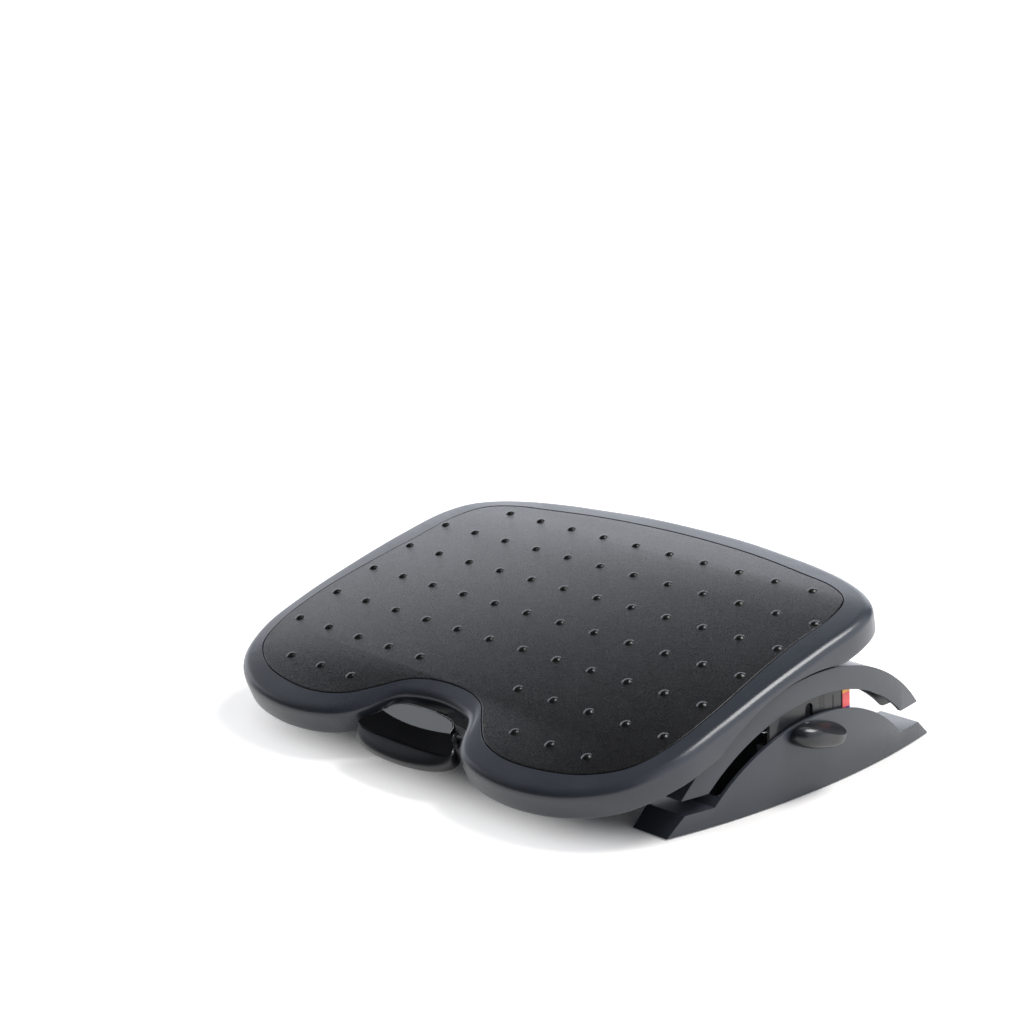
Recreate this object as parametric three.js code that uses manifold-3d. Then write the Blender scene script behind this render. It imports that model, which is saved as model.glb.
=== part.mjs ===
// Tilting under-desk footrest, millimetres.
// X runs across the footrest, Y runs away from the sitter, Z is up and zero on the floor.
// Two hollow feet carry two arched rails that slide up and down in them.
// The deck rides on the arches, so it tilts about an axis below the floor, at the arches' centre.
import * as THREE from "three";
import { mergeVertices } from "three/addons/utils/BufferGeometryUtils.js";
import Module from "manifold-3d";

const wasm = await Module();
wasm.setup();

// Clearances and finishing values shared by all pieces
const seatGap = 0.3;
const runningGap = 0.5;
const overrun = 10;
const weldDistance = 0.0001;

// Deck: the platform that the shoes stand on
const deckWidth = 508;
const deckDepth = 374;
const deckCrownRadius = 1461;
const deckOverArch = 12.5;
const deckShift = -4;
const deckRestTilt = 15.24;
const rimHeight = 26;
const rimBandWidth = 20;
const rimBandFall = 1;
const rimShoulderWidth = 8;
const rimShoulderHeight = 8;
const rimFootRound = 4;
const deckPlateThickness = 3.5;
const deckWallThickness = 7;
const ribThickness = 2.4;
const ribDepth = 20;
const ribPitchX = 84;
const ribPitchY = 64;

// Mat: the rubber surface let into the deck
const matThickness = 2.8;
const matGroove = 0.9;
const bumpPitchesAcross = 12.7;
const bumpPitchesAlong = 8.5;
const bumpRadius = 3.4;
const bumpRootRadius = 4.6;
const bumpHeight = 1.6;

// Arches: the curved rails
const archTopHeight = 96;
const archRadius = 176;
const archBand = 19;
const archWall = 3;
const archNearEndHeight = 28;
const archFarEndHeight = 33.5;
const archWidth = 30;
const sideInset = 2;
const sideBowRadius = 717;
const flangeReach = 8;
const glideGap = 2.2;

// Feet
const footLength = 305;
const footWidth = 52;
const footWall = 3;
const footArcRadius = 150;
const footTopHeight = 61.8;
const footShelfHeight = 15.5;
const footEndRun = 16.4;
const footWebThickness = 3;
const footClearance = 1;
const footChannelEnd = 102;
const padLength = 24;
const padWidth = 30;
const padRecess = 1.1;
const padPlaceY = 128;

// Height scale plate that hangs from each arch into its foot
const plateThickness = 3;
const plateNear = -50;
const plateFar = 42;
const plateFootHeight = 11;
const plateCorner = 5;
const plateSetback = 5.3;
const plateTopGap = 4;
const slotTopDrop = 24.5;
const slotFootHeight = 14.25;
const plateScrewSpacing = 60;
const plateScrewDrop = 13;
const tagWidth = 8.6;
const tagThickness = 0.4;
const tagFootHeight = 26;
const tagTopHeight = 78;

// Clamp bolt and knob
const boltAxisY = -5;
const boltAxisHeight = 48;
const boltRadius = 4;
const boltHeadRadius = 10;
const boltHeadThickness = 3;
const boltLength = 18;
const knobLength = 58;
const knobHeight = 21;
const knobDepth = 17;
const knobBoreRadius = 5.6;
const knobBoreDepth = 9.6;
const knobRestTurn = -13.5;
const knobFaceReach = 10.9;
const knobFaceShares = [0.458, 0.099, 0.883];
const guideRibDepth = 11;
const guideRibThickness = 2.4;

// Cross pieces that tie the two sides
const beamPlaceY = 72;
const beamWidth = 44;
const beamHeight = 12;
const beamFootHeight = 3.5;
const beamWall = 2.4;
const beamScrewSpacing = 24;
const tubeRadius = 5;
const tubeBoreRadius = 2.9;
const tubeDrop = 14;
const tubePlaceAngle = 22;

// Keepers that hook under the arches' flanges, and the glide liners on top
const keeperAngle = 20.5;
const keeperSpread = 5.4;
const keeperThickness = 3.4;
const keeperPadLength = 15;
const keeperBossDrop = 6;
const linerThickness = 1.3;
const linerGap = 0.4;
const linerSpread = 23;

// Screws
const screwRadius = 1.9;
const screwHeadRadius = 3.6;
const screwHeadHeight = 2.2;
const screwLength = 10;
const screwBossRadius = 4.6;

// Pedal in the deck's front notch
const axleRadius = 2;
const axleDepth = 15;
const axleSetback = 20;
const axleReachShare = 0.2087;
const pedalBack = 9;
const pedalFront = -28.5;
const pedalSide = -22;
const pedalBackShare = 0.1535;
const pedalFrontShare = 0.2244;
const pedalTopHeight = 10;
const pedalRidgeHeight = 9.2;
const pedalRidgePlace = -10;
const pedalDish = 1.3;
const pedalLipHeight = 4.4;
const pedalFootHeight = -7.5;
const pedalFlare = 2;
const pedalApron = 11;
const pedalWall = 2.6;
const pedalCorner = 9;
const springCoilRadius = 3.2;
const springWireRadius = 0.6;
const springPitch = 1.9;
const springPlaceX = -26;

// Release linkage and brake
const leverLength = 7;
const crankLength = 14;
const pinRadius = 1.5;
const pinLength = 3.2;
const pinPlay = 0.4;
const leverThickness = 4;
const linkHeight = 6;
const linkThickness = 1.6;
const shaftRadius = 4;
const shaftDrop = 15;
const shaftPlaceAngle = -14;
const shaftHubRadius = 7;
const lugPlaceX = 146;
const lugThickness = 5;
const armThickness = 5.4;
const armHeight = 7.6;
const shoeThickness = 4.2;
const shoeFrom = -1;
const shoeTo = 8;

// Facet counts
const outlineSteps = 60;
const arcSteps = 16;
const crownSteps = 6;
const sectorSteps = 8;
const roundSteps = 16;
const smallRoundSteps = 8;
const knobSides = 20;
const cornerSteps = 4;
const shoulderSteps = 2;
const bumpSides = 5;
const springTurns = 5;
const springStepsPerTurn = 7;

// Plan outlines, right half from the notch to the far edge, as shares of the deck's half width and depth
const deckOutlineShares = [
  [0, -0.663], [0.0866, -0.674], [0.165, -0.706], [0.197, -0.754], [0.228, -0.824], [0.268, -0.888],
  [0.315, -0.93], [0.425, -0.973], [0.591, -0.981], [0.768, -0.925], [0.909, -0.791], [0.984, -0.578],
  [1, -0.321], [1, 0], [0.998, 0.321], [0.988, 0.578], [0.945, 0.722], [0.866, 0.813],
  [0.748, 0.885], [0.591, 0.941], [0.433, 0.976], [0.236, 1.01], [0, 1.02],
];
const matOutlineShares = [
  [0, -0.564], [0.0945, -0.575], [0.177, -0.618], [0.256, -0.719], [0.335, -0.805], [0.461, -0.853],
  [0.618, -0.845], [0.768, -0.791], [0.874, -0.684], [0.921, -0.508], [0.929, -0.267], [0.909, 0.0535],
  [0.892, 0.321], [0.886, 0.535], [0.843, 0.695], [0.748, 0.773], [0.591, 0.818], [0.335, 0.874],
  [0, 0.898],
];

// Rows of bumps, nearest first: how many columns stand clear of the middle, and how many reach out
const bumpRows = [
  { from: 2, to: 5 },
  { from: 1, to: 6 },
  { from: 0, to: 6 },
  { from: 0, to: 6 },
  { from: 0, to: 6 },
  { from: 0, to: 6 },
  { from: 0, to: 5 },
];

// Sizes worked out from the driving dimensions
const halfWidth = deckWidth / 2;
const halfDepth = deckDepth / 2;
const deckRise = archRadius + deckOverArch;
const bumpPitchX = deckWidth / bumpPitchesAcross;
const bumpPitchY = deckDepth / bumpPitchesAlong;
const archCentreHeight = archTopHeight - archRadius;
const sideOuter = halfWidth - sideInset;
const footInner = sideOuter - footWidth;
const archInner = sideOuter - archWidth;
const plateScrewRadius = archRadius - plateScrewDrop;
const tubePlaceRadius = archRadius - tubeDrop;
const shaftPlaceRadius = archRadius - shaftDrop;
const slotTopHeight = archTopHeight - slotTopDrop;
const axlePlace = deckOutlineShares[0][1] * halfDepth - axleSetback;
const axleHalfLength = axleReachShare * halfWidth;
const pedalBackHalf = pedalBackShare * halfWidth;
const pedalFrontHalf = pedalFrontShare * halfWidth;
const archLowerRadius = archRadius - archBand;
const flangeRadius = archRadius - archWall;
const cutRadius = archRadius + glideGap;
const archNearEnd = archNearEndHeight - archCentreHeight;
const archFarEnd = archFarEndHeight - archCentreHeight;
const footArcCentre = footTopHeight - footArcRadius;
const plateFace = sideOuter - plateSetback;
const plateBack = plateFace - plateThickness;
const boltHole = boltRadius + seatGap;
const recessDepth = matThickness + seatGap;
const plateUnderside = recessDepth + deckPlateThickness;
const flangeInner = archInner - flangeReach;
const quarterTurn = Math.PI / 2;

const toRadians = THREE.MathUtils.degToRad;

// Materials
const materials = {
  shell: new THREE.MeshStandardMaterial({ color: 0x4a4f57, roughness: 0.5, metalness: 0 }),
  mat: new THREE.MeshStandardMaterial({ color: 0x232326, roughness: 0.75, metalness: 0 }),
  knob: new THREE.MeshStandardMaterial({ color: 0x34373c, roughness: 0.35, metalness: 0 }),
  plate: new THREE.MeshStandardMaterial({ color: 0x2b2e33, roughness: 0.45, metalness: 0 }),
  gloss: new THREE.MeshStandardMaterial({ color: 0x101012, roughness: 0.08, metalness: 0 }),
  tag: new THREE.MeshStandardMaterial({ color: 0xf06969, roughness: 0.5, metalness: 0 }),
  rubber: new THREE.MeshStandardMaterial({ color: 0x1b1b1d, roughness: 0.85, metalness: 0 }),
  steel: new THREE.MeshStandardMaterial({ color: 0xa9adb3, roughness: 0.35, metalness: 1 }),
  brass: new THREE.MeshStandardMaterial({ color: 0xb8954c, roughness: 0.35, metalness: 1 }),
  glide: new THREE.MeshStandardMaterial({ color: 0xc9c7bf, roughness: 0.5, metalness: 0 }),
};

// Solids from closed three.js geometries, and back
function solid(geometry) {
  const source = geometry.index ? geometry.toNonIndexed() : geometry;
  const bare = new THREE.BufferGeometry();
  bare.setAttribute("position", source.getAttribute("position"));
  const merged = mergeVertices(bare, weldDistance);
  return new wasm.Manifold(
    new wasm.Mesh({
      numProp: 3,
      vertProperties: merged.getAttribute("position").array,
      triVerts: new Uint32Array(merged.index.array),
    }),
  );
}

function geometryOf(body) {
  const { vertProperties, triVerts, numProp } = body.getMesh();
  const points = new THREE.InterleavedBuffer(vertProperties, numProp);
  const geometry = new THREE.BufferGeometry();
  geometry.setAttribute("position", new THREE.InterleavedBufferAttribute(points, 3, 0));
  geometry.setIndex(new THREE.BufferAttribute(triVerts, 1));
  return geometry.toNonIndexed();
}

function join(...bodies) {
  return bodies.reduce((sum, body) => sum.add(body));
}

// A flat shape drawn in Y and Z, given its thickness along X
const alongX = new THREE.Matrix4().makeBasis(
  new THREE.Vector3(0, 1, 0),
  new THREE.Vector3(0, 0, 1),
  new THREE.Vector3(1, 0, 0),
);
function slabX(shape, from, to, curveSegments = arcSteps) {
  const options = { depth: to - from, bevelEnabled: false, curveSegments };
  const geometry = new THREE.ExtrudeGeometry(shape, options);
  return solid(geometry.applyMatrix4(alongX).translate(from, 0, 0));
}

// A flat shape drawn in X and Y, given its height along Z
function slabZ(shape, from, to) {
  const options = { depth: to - from, bevelEnabled: false, curveSegments: crownSteps };
  const geometry = new THREE.ExtrudeGeometry(shape, options);
  return solid(geometry.translate(0, 0, from));
}

function block(x, y, z) {
  const geometry = new THREE.BoxGeometry(x[1] - x[0], y[1] - y[0], z[1] - z[0]);
  return solid(geometry.translate((x[0] + x[1]) / 2, (y[0] + y[1]) / 2, (z[0] + z[1]) / 2));
}

function rodX(radius, from, to, y, z, sides = roundSteps) {
  const geometry = new THREE.CylinderGeometry(radius, radius, to - from, sides);
  return solid(geometry.rotateZ(-quarterTurn).translate((from + to) / 2, y, z));
}

// A ring sector about the tilt axis, angles from the vertical towards +Y
function sectorShape(inner, outer, fromAngle, toAngle) {
  const start = quarterTurn - toRadians(fromAngle);
  const end = quarterTurn - toRadians(toAngle);
  const shape = new THREE.Shape();
  shape.absarc(0, 0, outer, start, end, true);
  shape.absarc(0, 0, inner, end, start, false);
  return shape;
}

// An arch with its ends cut level, let down by a drop
function archShape(inner, outer, drop = 0) {
  const near = archNearEnd - drop;
  const far = archFarEnd - drop;
  const outerEnds = [quarterTurn + Math.acos(near / outer), quarterTurn - Math.acos(far / outer)];
  const innerEnds = [quarterTurn + Math.acos(near / inner), quarterTurn - Math.acos(far / inner)];
  const shape = new THREE.Shape();
  shape.absarc(0, 0, outer, outerEnds[0], outerEnds[1], true);
  shape.absarc(0, 0, inner, innerEnds[1], innerEnds[0], false);
  return shape;
}

// A closed skin over rings of points, listed from the top ring down
function loft(rings) {
  const count = rings[0].length;
  const positions = rings.flat().flatMap((point) => [point.x, point.y, point.z]);
  const flat = (ring) => ring.map((point) => new THREE.Vector2(point.x, point.y));
  const index = [];
  for (let ring = 0; ring < rings.length - 1; ring += 1) {
    for (let i = 0; i < count; i += 1) {
      const next = (i + 1) % count;
      const upper = ring * count;
      const lower = upper + count;
      index.push(upper + i, lower + i, lower + next);
      index.push(upper + i, lower + next, upper + next);
    }
  }
  const last = (rings.length - 1) * count;
  for (const [a, b, c] of THREE.ShapeUtils.triangulateShape(flat(rings[0]), [])) index.push(a, b, c);
  for (const [a, b, c] of THREE.ShapeUtils.triangulateShape(flat(rings.at(-1)), [])) {
    index.push(last + a, last + c, last + b);
  }
  const geometry = new THREE.BufferGeometry();
  geometry.setAttribute("position", new THREE.Float32BufferAttribute(positions, 3));
  geometry.setIndex(index);
  return solid(geometry);
}

// A point of the deck: across, along its crowned surface, and below it
function deckPoint(x, along, depth) {
  const turn = along / deckCrownRadius;
  const radius = deckCrownRadius - depth;
  const centre = deckRise - deckCrownRadius;
  return new THREE.Vector3(x, deckShift + radius * Math.sin(turn), centre + radius * Math.cos(turn));
}

// A smooth closed outline from one half of its points
function outlineCurve(shares) {
  const right = shares.map(([x, y]) => new THREE.Vector3(x * halfWidth, y * halfDepth, 0));
  const left = right.slice(1, -1).reverse();
  const mirrored = left.map((point) => new THREE.Vector3(-point.x, point.y, 0));
  return new THREE.CatmullRomCurve3([...right, ...mirrored], true, "centripetal");
}

// One ring of a deck loft, drawn in from the outline and let down below the surface
function deckRing(curve, inset, depth) {
  return Array.from({ length: outlineSteps }, (_, i) => {
    const share = i / outlineSteps;
    const point = curve.getPoint(share);
    const tangent = curve.getTangent(share);
    return deckPoint(point.x - tangent.y * inset, point.y + tangent.x * inset, depth);
  });
}

// Everything of the deck between two depths, as wide as a cut needs
function deckLayer(fromDepth, toDepth, halfX = halfWidth + overrun) {
  const reach = (halfDepth + overrun) / deckCrownRadius;
  const shape = new THREE.Shape();
  const centre = deckRise - deckCrownRadius;
  const start = quarterTurn + reach;
  const end = quarterTurn - reach;
  shape.absarc(deckShift, centre, deckCrownRadius - fromDepth, start, end, true);
  shape.absarc(deckShift, centre, deckCrownRadius - toDepth, end, start, false);
  return slabX(shape, -halfX, halfX, crownSteps);
}

// The rim's section as insets and depths: flat band, round shoulder, upright side, rounded foot
function rimSection() {
  const slope = rimBandFall / (rimBandWidth - rimShoulderWidth);
  const section = [
    [rimBandWidth + overrun, -overrun],
    [rimBandWidth + overrun, -overrun * slope],
  ];
  for (let step = 0; step <= shoulderSteps; step += 1) {
    const turn = (quarterTurn * step) / shoulderSteps;
    const inset = rimShoulderWidth * (1 - Math.sin(turn));
    section.push([inset, rimBandFall + rimShoulderHeight * (1 - Math.cos(turn))]);
  }
  for (let step = 0; step <= shoulderSteps; step += 1) {
    const turn = (quarterTurn * step) / shoulderSteps;
    const inset = rimFootRound * (1 - Math.cos(turn));
    section.push([inset, rimHeight - rimFootRound * (1 - Math.sin(turn))]);
  }
  section.push([rimFootRound, rimHeight + overrun]);
  return section;
}

function plugOf(curve, inset, fromDepth, toDepth) {
  return loft([deckRing(curve, inset, fromDepth), deckRing(curve, inset, toDepth)]);
}

const deckCurve = outlineCurve(deckOutlineShares);
const matCurve = outlineCurve(matOutlineShares);

// The pedal's axle and the release linkage, in the deck's frame
const axle = deckPoint(0, axlePlace, axleDepth);
const axleTurn = -axlePlace / deckCrownRadius;
const leverPin = deckPoint(0, axlePlace, axleDepth + leverLength);
const shaftTurn = toRadians(shaftPlaceAngle);
const shaft = new THREE.Vector3(
  0,
  shaftPlaceRadius * Math.sin(shaftTurn),
  shaftPlaceRadius * Math.cos(shaftTurn),
);
const crankPin = new THREE.Vector3(
  0,
  shaft.y - crankLength * Math.sin(axleTurn),
  shaft.z + crankLength * Math.cos(axleTurn),
);

// Ribs under the deck plate, in both directions
function deckRibs() {
  const ribs = [];
  for (let x = ribPitchX / 2; x < halfWidth; x += ribPitchX) {
    for (const side of [-x, x]) {
      const across = [side - ribThickness / 2, side + ribThickness / 2];
      ribs.push(block(across, [-halfDepth, halfDepth], [0, deckRise]));
    }
  }
  for (let y = ribPitchY / 2; y < halfDepth; y += ribPitchY) {
    for (const side of [-y, y]) {
      const along = [side - ribThickness / 2, side + ribThickness / 2];
      ribs.push(block([-halfWidth, halfWidth], along, [0, deckRise]));
    }
  }
  return join(...ribs);
}

// Where each keeper's screw goes up into the deck
const keeperPlaceY = flangeRadius * Math.sin(toRadians(keeperAngle));
const keeperPadOuter = flangeInner - runningGap - keeperThickness;
const keeperScrewX = keeperPadOuter - keeperPadLength / 2;
const keeperBossFoot = deckPoint(0, keeperPlaceY, plateUnderside + keeperBossDrop).z;
const keeperHalf = (toRadians(keeperSpread) * flangeRadius) / 2;

function keeperBosses() {
  const bosses = [];
  for (const x of [-keeperScrewX, keeperScrewX]) {
    for (const y of [-keeperPlaceY, keeperPlaceY]) {
      bosses.push(boreZ(screwBossRadius, x, y, keeperBossFoot, deckRise - plateUnderside));
    }
  }
  return join(...bosses);
}

// Room in the ribs around each keeper
function keeperRooms() {
  const inner = keeperPadOuter - keeperPadLength - runningGap;
  const outer = keeperPadOuter + keeperThickness + runningGap;
  const half = keeperHalf + runningGap;
  const rooms = [[inner, outer], [-outer, -inner]].flatMap((x) =>
    [-keeperPlaceY, keeperPlaceY].map((y) => block(x, [y - half, y + half], [0, keeperBossFoot])),
  );
  return join(...rooms);
}

function boreZ(radius, x, y, from, to, sides = smallRoundSteps) {
  const geometry = new THREE.CylinderGeometry(radius, radius, to - from, sides);
  return solid(geometry.rotateX(quarterTurn).translate(x, y, (from + to) / 2));
}

function keeperPilots() {
  const pilots = [];
  const top = deckRise - recessDepth - deckPlateThickness / 2;
  for (const x of [-keeperScrewX, keeperScrewX]) {
    for (const y of [-keeperPlaceY, keeperPlaceY]) {
      pilots.push(boreZ(screwRadius + seatGap, x, y, keeperBossFoot - overrun, top));
    }
  }
  return join(...pilots);
}

// Two moulded lugs that carry the brake shaft
function shaftLugs() {
  const shape = new THREE.Shape();
  const top = deckRise - plateUnderside;
  const half = shaftHubRadius + lugThickness;
  shape.moveTo(shaft.y - half, top);
  shape.lineTo(shaft.y - shaftHubRadius, shaft.z);
  shape.absarc(shaft.y, shaft.z, shaftHubRadius, Math.PI, 2 * Math.PI, false);
  shape.lineTo(shaft.y + half, top);
  const lugs = [-lugPlaceX, lugPlaceX].map((x) =>
    slabX(shape, x - lugThickness / 2, x + lugThickness / 2, smallRoundSteps),
  );
  return join(...lugs);
}

// The way through the notch wall and the ribs for the release link
function linkPass() {
  const shape = new THREE.Shape();
  shape.moveTo(leverPin.y, leverPin.z - linkHeight);
  shape.lineTo(crankPin.y + overrun, crankPin.z - linkHeight);
  shape.lineTo(crankPin.y + overrun, crankPin.z + linkHeight);
  shape.lineTo(leverPin.y, leverPin.z + linkHeight);
  return slabX(shape, -shaftHubRadius, shaftHubRadius);
}

function deckShell() {
  const rings = rimSection().map(([inset, depth]) => deckRing(deckCurve, inset, depth));
  const outer = loft(rings).intersect(deckLayer(0, rimHeight));
  const hollow = plugOf(deckCurve, deckWallThickness, 0, rimHeight + overrun).intersect(
    deckLayer(plateUnderside, rimHeight + overrun),
  );
  const ribZone = plugOf(deckCurve, deckWallThickness / 2, 0, rimHeight + overrun);
  const ribs = deckRibs()
    .intersect(deckLayer(recessDepth, ribDepth))
    .intersect(ribZone)
    .subtract(keeperRooms());
  const recess = plugOf(matCurve, -matGroove, -overrun, rimHeight).intersect(
    deckLayer(-overrun, recessDepth),
  );
  const axleBosses = [-1, 1].map((side) => {
    const inner = axleHalfLength - deckWallThickness / 2;
    const ends = [side * inner, side * (axleHalfLength + deckWallThickness)].sort((a, b) => a - b);
    return rodX(axleRadius + pedalWall, ends[0], ends[1], axle.y, axle.z);
  });
  const axleReach = axleHalfLength + seatGap;
  const sideCuts = [-1, 1].map((side) => {
    const ends = [side * (flangeInner - runningGap * 2 - keeperThickness), side * (halfWidth + overrun)];
    ends.sort((a, b) => a - b);
    return rodX(cutRadius, ends[0], ends[1], 0, 0, arcSteps * 4);
  });
  return join(outer.subtract(hollow), ribs, keeperBosses(), ...axleBosses)
    .subtract(join(...sideCuts))
    .add(shaftLugs())
    .subtract(linkPass())
    .subtract(keeperPilots())
    .subtract(rodX(axleRadius + seatGap, -axleReach, axleReach, axle.y, axle.z))
    .subtract(rodX(shaftRadius + seatGap, -halfWidth, halfWidth, shaft.y, shaft.z))
    .subtract(recess);
}

// A low dome on the mat, revolved
function bump(x, along) {
  const profile = [
    new THREE.Vector2(0, -matThickness / 2),
    new THREE.Vector2(bumpRootRadius, -matThickness / 2),
    new THREE.Vector2(bumpRadius / 2, bumpHeight),
    new THREE.Vector2(0, bumpHeight),
  ];
  const place = deckPoint(x, along, 0);
  const geometry = new THREE.LatheGeometry(profile, bumpSides);
  geometry.rotateX(quarterTurn - along / deckCrownRadius);
  return solid(geometry.translate(place.x, place.y, place.z));
}

function matPad() {
  const middleRow = (bumpRows.length - 1) / 2;
  const bumps = bumpRows.flatMap((row, j) => {
    const along = (j - middleRow) * bumpPitchY;
    const places = [];
    for (let column = row.from; column < row.to; column += 1) {
      const x = (column + 1 / 2) * bumpPitchX;
      places.push(bump(x, along), bump(-x, along));
    }
    return places;
  });
  const sheet = plugOf(matCurve, 0, -overrun, rimHeight).intersect(deckLayer(0, matThickness));
  return join(sheet, ...bumps);
}

// Plan of one side unit: flat inboard, bowed outboard
function sidePlan(inset, halfLength, inboard = footInner + inset) {
  const radius = sideBowRadius - inset;
  const centre = sideOuter - sideBowRadius;
  const turn = Math.asin(halfLength / radius);
  const shape = new THREE.Shape();
  shape.absarc(centre, 0, radius, -turn, turn, false);
  shape.lineTo(inboard, halfLength);
  shape.lineTo(inboard, -halfLength);
  return shape;
}

// Side view of a foot, or of the room inside it: sloped ends, low shelves and the round back
function footProfile(inset, floor) {
  const radius = footArcRadius - inset;
  const shelf = footShelfHeight - inset;
  const turn = Math.acos((shelf - footArcCentre) / radius);
  const half = footLength / 2 - inset;
  const slope = footEndRun / (footShelfHeight - footClearance);
  const floorHalf = half - slope * (floor - footClearance);
  const shelfHalf = half - slope * (shelf - footClearance);
  const shape = new THREE.Shape();
  shape.moveTo(-floorHalf, floor);
  shape.lineTo(-shelfHalf, shelf);
  shape.absarc(0, footArcCentre, radius, quarterTurn + turn, quarterTurn - turn, true);
  shape.lineTo(shelfHalf, shelf);
  shape.lineTo(floorHalf, floor);
  return shape;
}

function footShell() {
  const half = footLength / 2;
  const hull = slabX(footProfile(0, footClearance), footInner, sideOuter + overrun).intersect(
    slabZ(sidePlan(0, half), -overrun, footTopHeight + overrun),
  );
  const innerPlan = slabZ(sidePlan(footWall, half), -overrun, footTopHeight + overrun);
  const webTop = footClearance + footWebThickness;
  const rooms = slabX(footProfile(footWall, webTop), footInner, sideOuter).intersect(innerPlan);
  const channel = block(
    [footInner, sideOuter],
    [-footChannelEnd, footChannelEnd],
    [-overrun, footTopHeight + overrun],
  ).intersect(innerPlan);
  const guidePlaces = [plateNear - runningGap - guideRibThickness, plateFar + runningGap];
  const guides = guidePlaces.map((y) =>
    block(
      [plateFace - guideRibDepth, sideOuter],
      [y, y + guideRibThickness],
      [webTop, footTopHeight],
    ),
  );
  const guideZone = slabX(footProfile(footWall, webTop), footInner, sideOuter).intersect(
    slabZ(sidePlan(footWall / 2, half), -overrun, footTopHeight + overrun),
  );
  const recesses = [-padPlaceY, padPlaceY].map((y) => padBlock(y, seatGap, padRecess + footClearance));
  const accessRadius = boltHeadRadius + footWall / 2;
  const holeRadius = screwRadius + seatGap;
  const beamHoles = beamScrewPlaces().map((y) =>
    rodX(holeRadius, footInner - overrun, footInner + overrun, y, beamScrewHeight, smallRoundSteps),
  );
  return hull
    .subtract(join(rooms, channel))
    .add(join(...guides).intersect(guideZone))
    .subtract(join(...recesses))
    .subtract(rodX(boltHole, plateFace, sideOuter + overrun, boltAxisY, boltAxisHeight))
    .subtract(rodX(accessRadius, footInner - overrun, footInner + overrun, boltAxisY, boltAxisHeight))
    .subtract(join(...beamHoles));
}

// Rubber pad under a foot's end, and the recess that holds it
function padBlock(y, grow, height) {
  const middle = (footInner + sideOuter - y ** 2 / sideBowRadius / 2) / 2;
  const x = [middle - padWidth / 2 - grow, middle + padWidth / 2 + grow];
  return block(x, [y - padLength / 2 - grow, y + padLength / 2 + grow], [-grow, height]);
}

const beamScrewHeight = beamFootHeight + beamHeight / 2;
function beamScrewPlaces() {
  return [beamPlaceY - beamScrewSpacing / 2, beamPlaceY + beamScrewSpacing / 2];
}

// Open channel beam with closed ends, between the feet
function crossBeam() {
  const reach = footInner - seatGap;
  const half = beamWidth / 2;
  const top = beamFootHeight + beamHeight;
  const outer = block([-reach, reach], [beamPlaceY - half, beamPlaceY + half], [beamFootHeight, top]);
  const inner = block(
    [-reach + beamWall * 2, reach - beamWall * 2],
    [beamPlaceY - half + beamWall, beamPlaceY + half - beamWall],
    [beamFootHeight - overrun, top - beamWall],
  );
  const rib = block(
    [-reach, reach],
    [beamPlaceY - beamWall / 2, beamPlaceY + beamWall / 2],
    [beamFootHeight + beamWall, top],
  );
  const holes = beamScrewPlaces().map((y) =>
    rodX(screwRadius + seatGap, -sideOuter, sideOuter, y, beamScrewHeight, smallRoundSteps),
  );
  return join(outer.subtract(inner), rib).subtract(join(...holes));
}

// Screw revolved about X: head first, shank running inboard
function screwX(headX, y, z, direction, length = screwLength) {
  const profile = [
    new THREE.Vector2(0, 0),
    new THREE.Vector2(screwHeadRadius, 0),
    new THREE.Vector2(screwHeadRadius, screwHeadHeight),
    new THREE.Vector2(screwRadius, screwHeadHeight),
    new THREE.Vector2(screwRadius, length),
    new THREE.Vector2(0, length),
  ];
  const geometry = new THREE.LatheGeometry(profile, smallRoundSteps);
  return solid(geometry.rotateZ(-direction * quarterTurn).translate(headX, y, z));
}

// Arched rail: a channel open downwards, with a flange inboard for the keepers and the brake
function archRail() {
  const halfLength = Math.sqrt(archRadius ** 2 - archNearEnd ** 2);
  const holeRadius = screwRadius + seatGap;
  const plan = sidePlan(0, halfLength, flangeInner);
  const side = archShape(archLowerRadius, archRadius);
  const hull = slabX(side, flangeInner, sideOuter + overrun).intersect(
    slabZ(plan, 0, archRadius + overrun),
  );
  const below = archShape(archLowerRadius - overrun, flangeRadius, overrun);
  const innerPlan = slabZ(
    sidePlan(archWall, halfLength, archInner + archWall),
    0,
    archRadius + overrun,
  );
  const hollow = slabX(below, archInner, sideOuter).intersect(innerPlan);
  const inboard = slabX(below, 0, archInner);
  const bosses = plateScrewPlaces().map(([y, z]) =>
    rodX(screwBossRadius, plateFace + seatGap, sideOuter, y, z, smallRoundSteps),
  );
  const bossZone = slabZ(sidePlan(archWall / 2, halfLength), 0, archRadius + overrun);
  const pilots = plateScrewPlaces().map(([y, z]) =>
    rodX(holeRadius, plateBack, sideOuter - archWall, y, z, smallRoundSteps),
  );
  const tubeHole = rodX(holeRadius, flangeInner, archInner + overrun, tube.y, tube.z, smallRoundSteps);
  return hull
    .subtract(hollow)
    .subtract(inboard)
    .add(join(...bosses).intersect(bossZone))
    .subtract(join(...pilots))
    .subtract(tubeHole);
}

function plateScrewPlaces() {
  const turn = Math.asin(plateScrewSpacing / 2 / plateScrewRadius);
  const z = plateScrewRadius * Math.cos(turn);
  const middle = (plateNear + plateFar) / 2;
  return [[middle - plateScrewSpacing / 2, z], [middle + plateScrewSpacing / 2, z]];
}

const tubeTurn = toRadians(tubePlaceAngle);
const tube = { y: tubePlaceRadius * Math.sin(tubeTurn), z: tubePlaceRadius * Math.cos(tubeTurn) };

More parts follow.
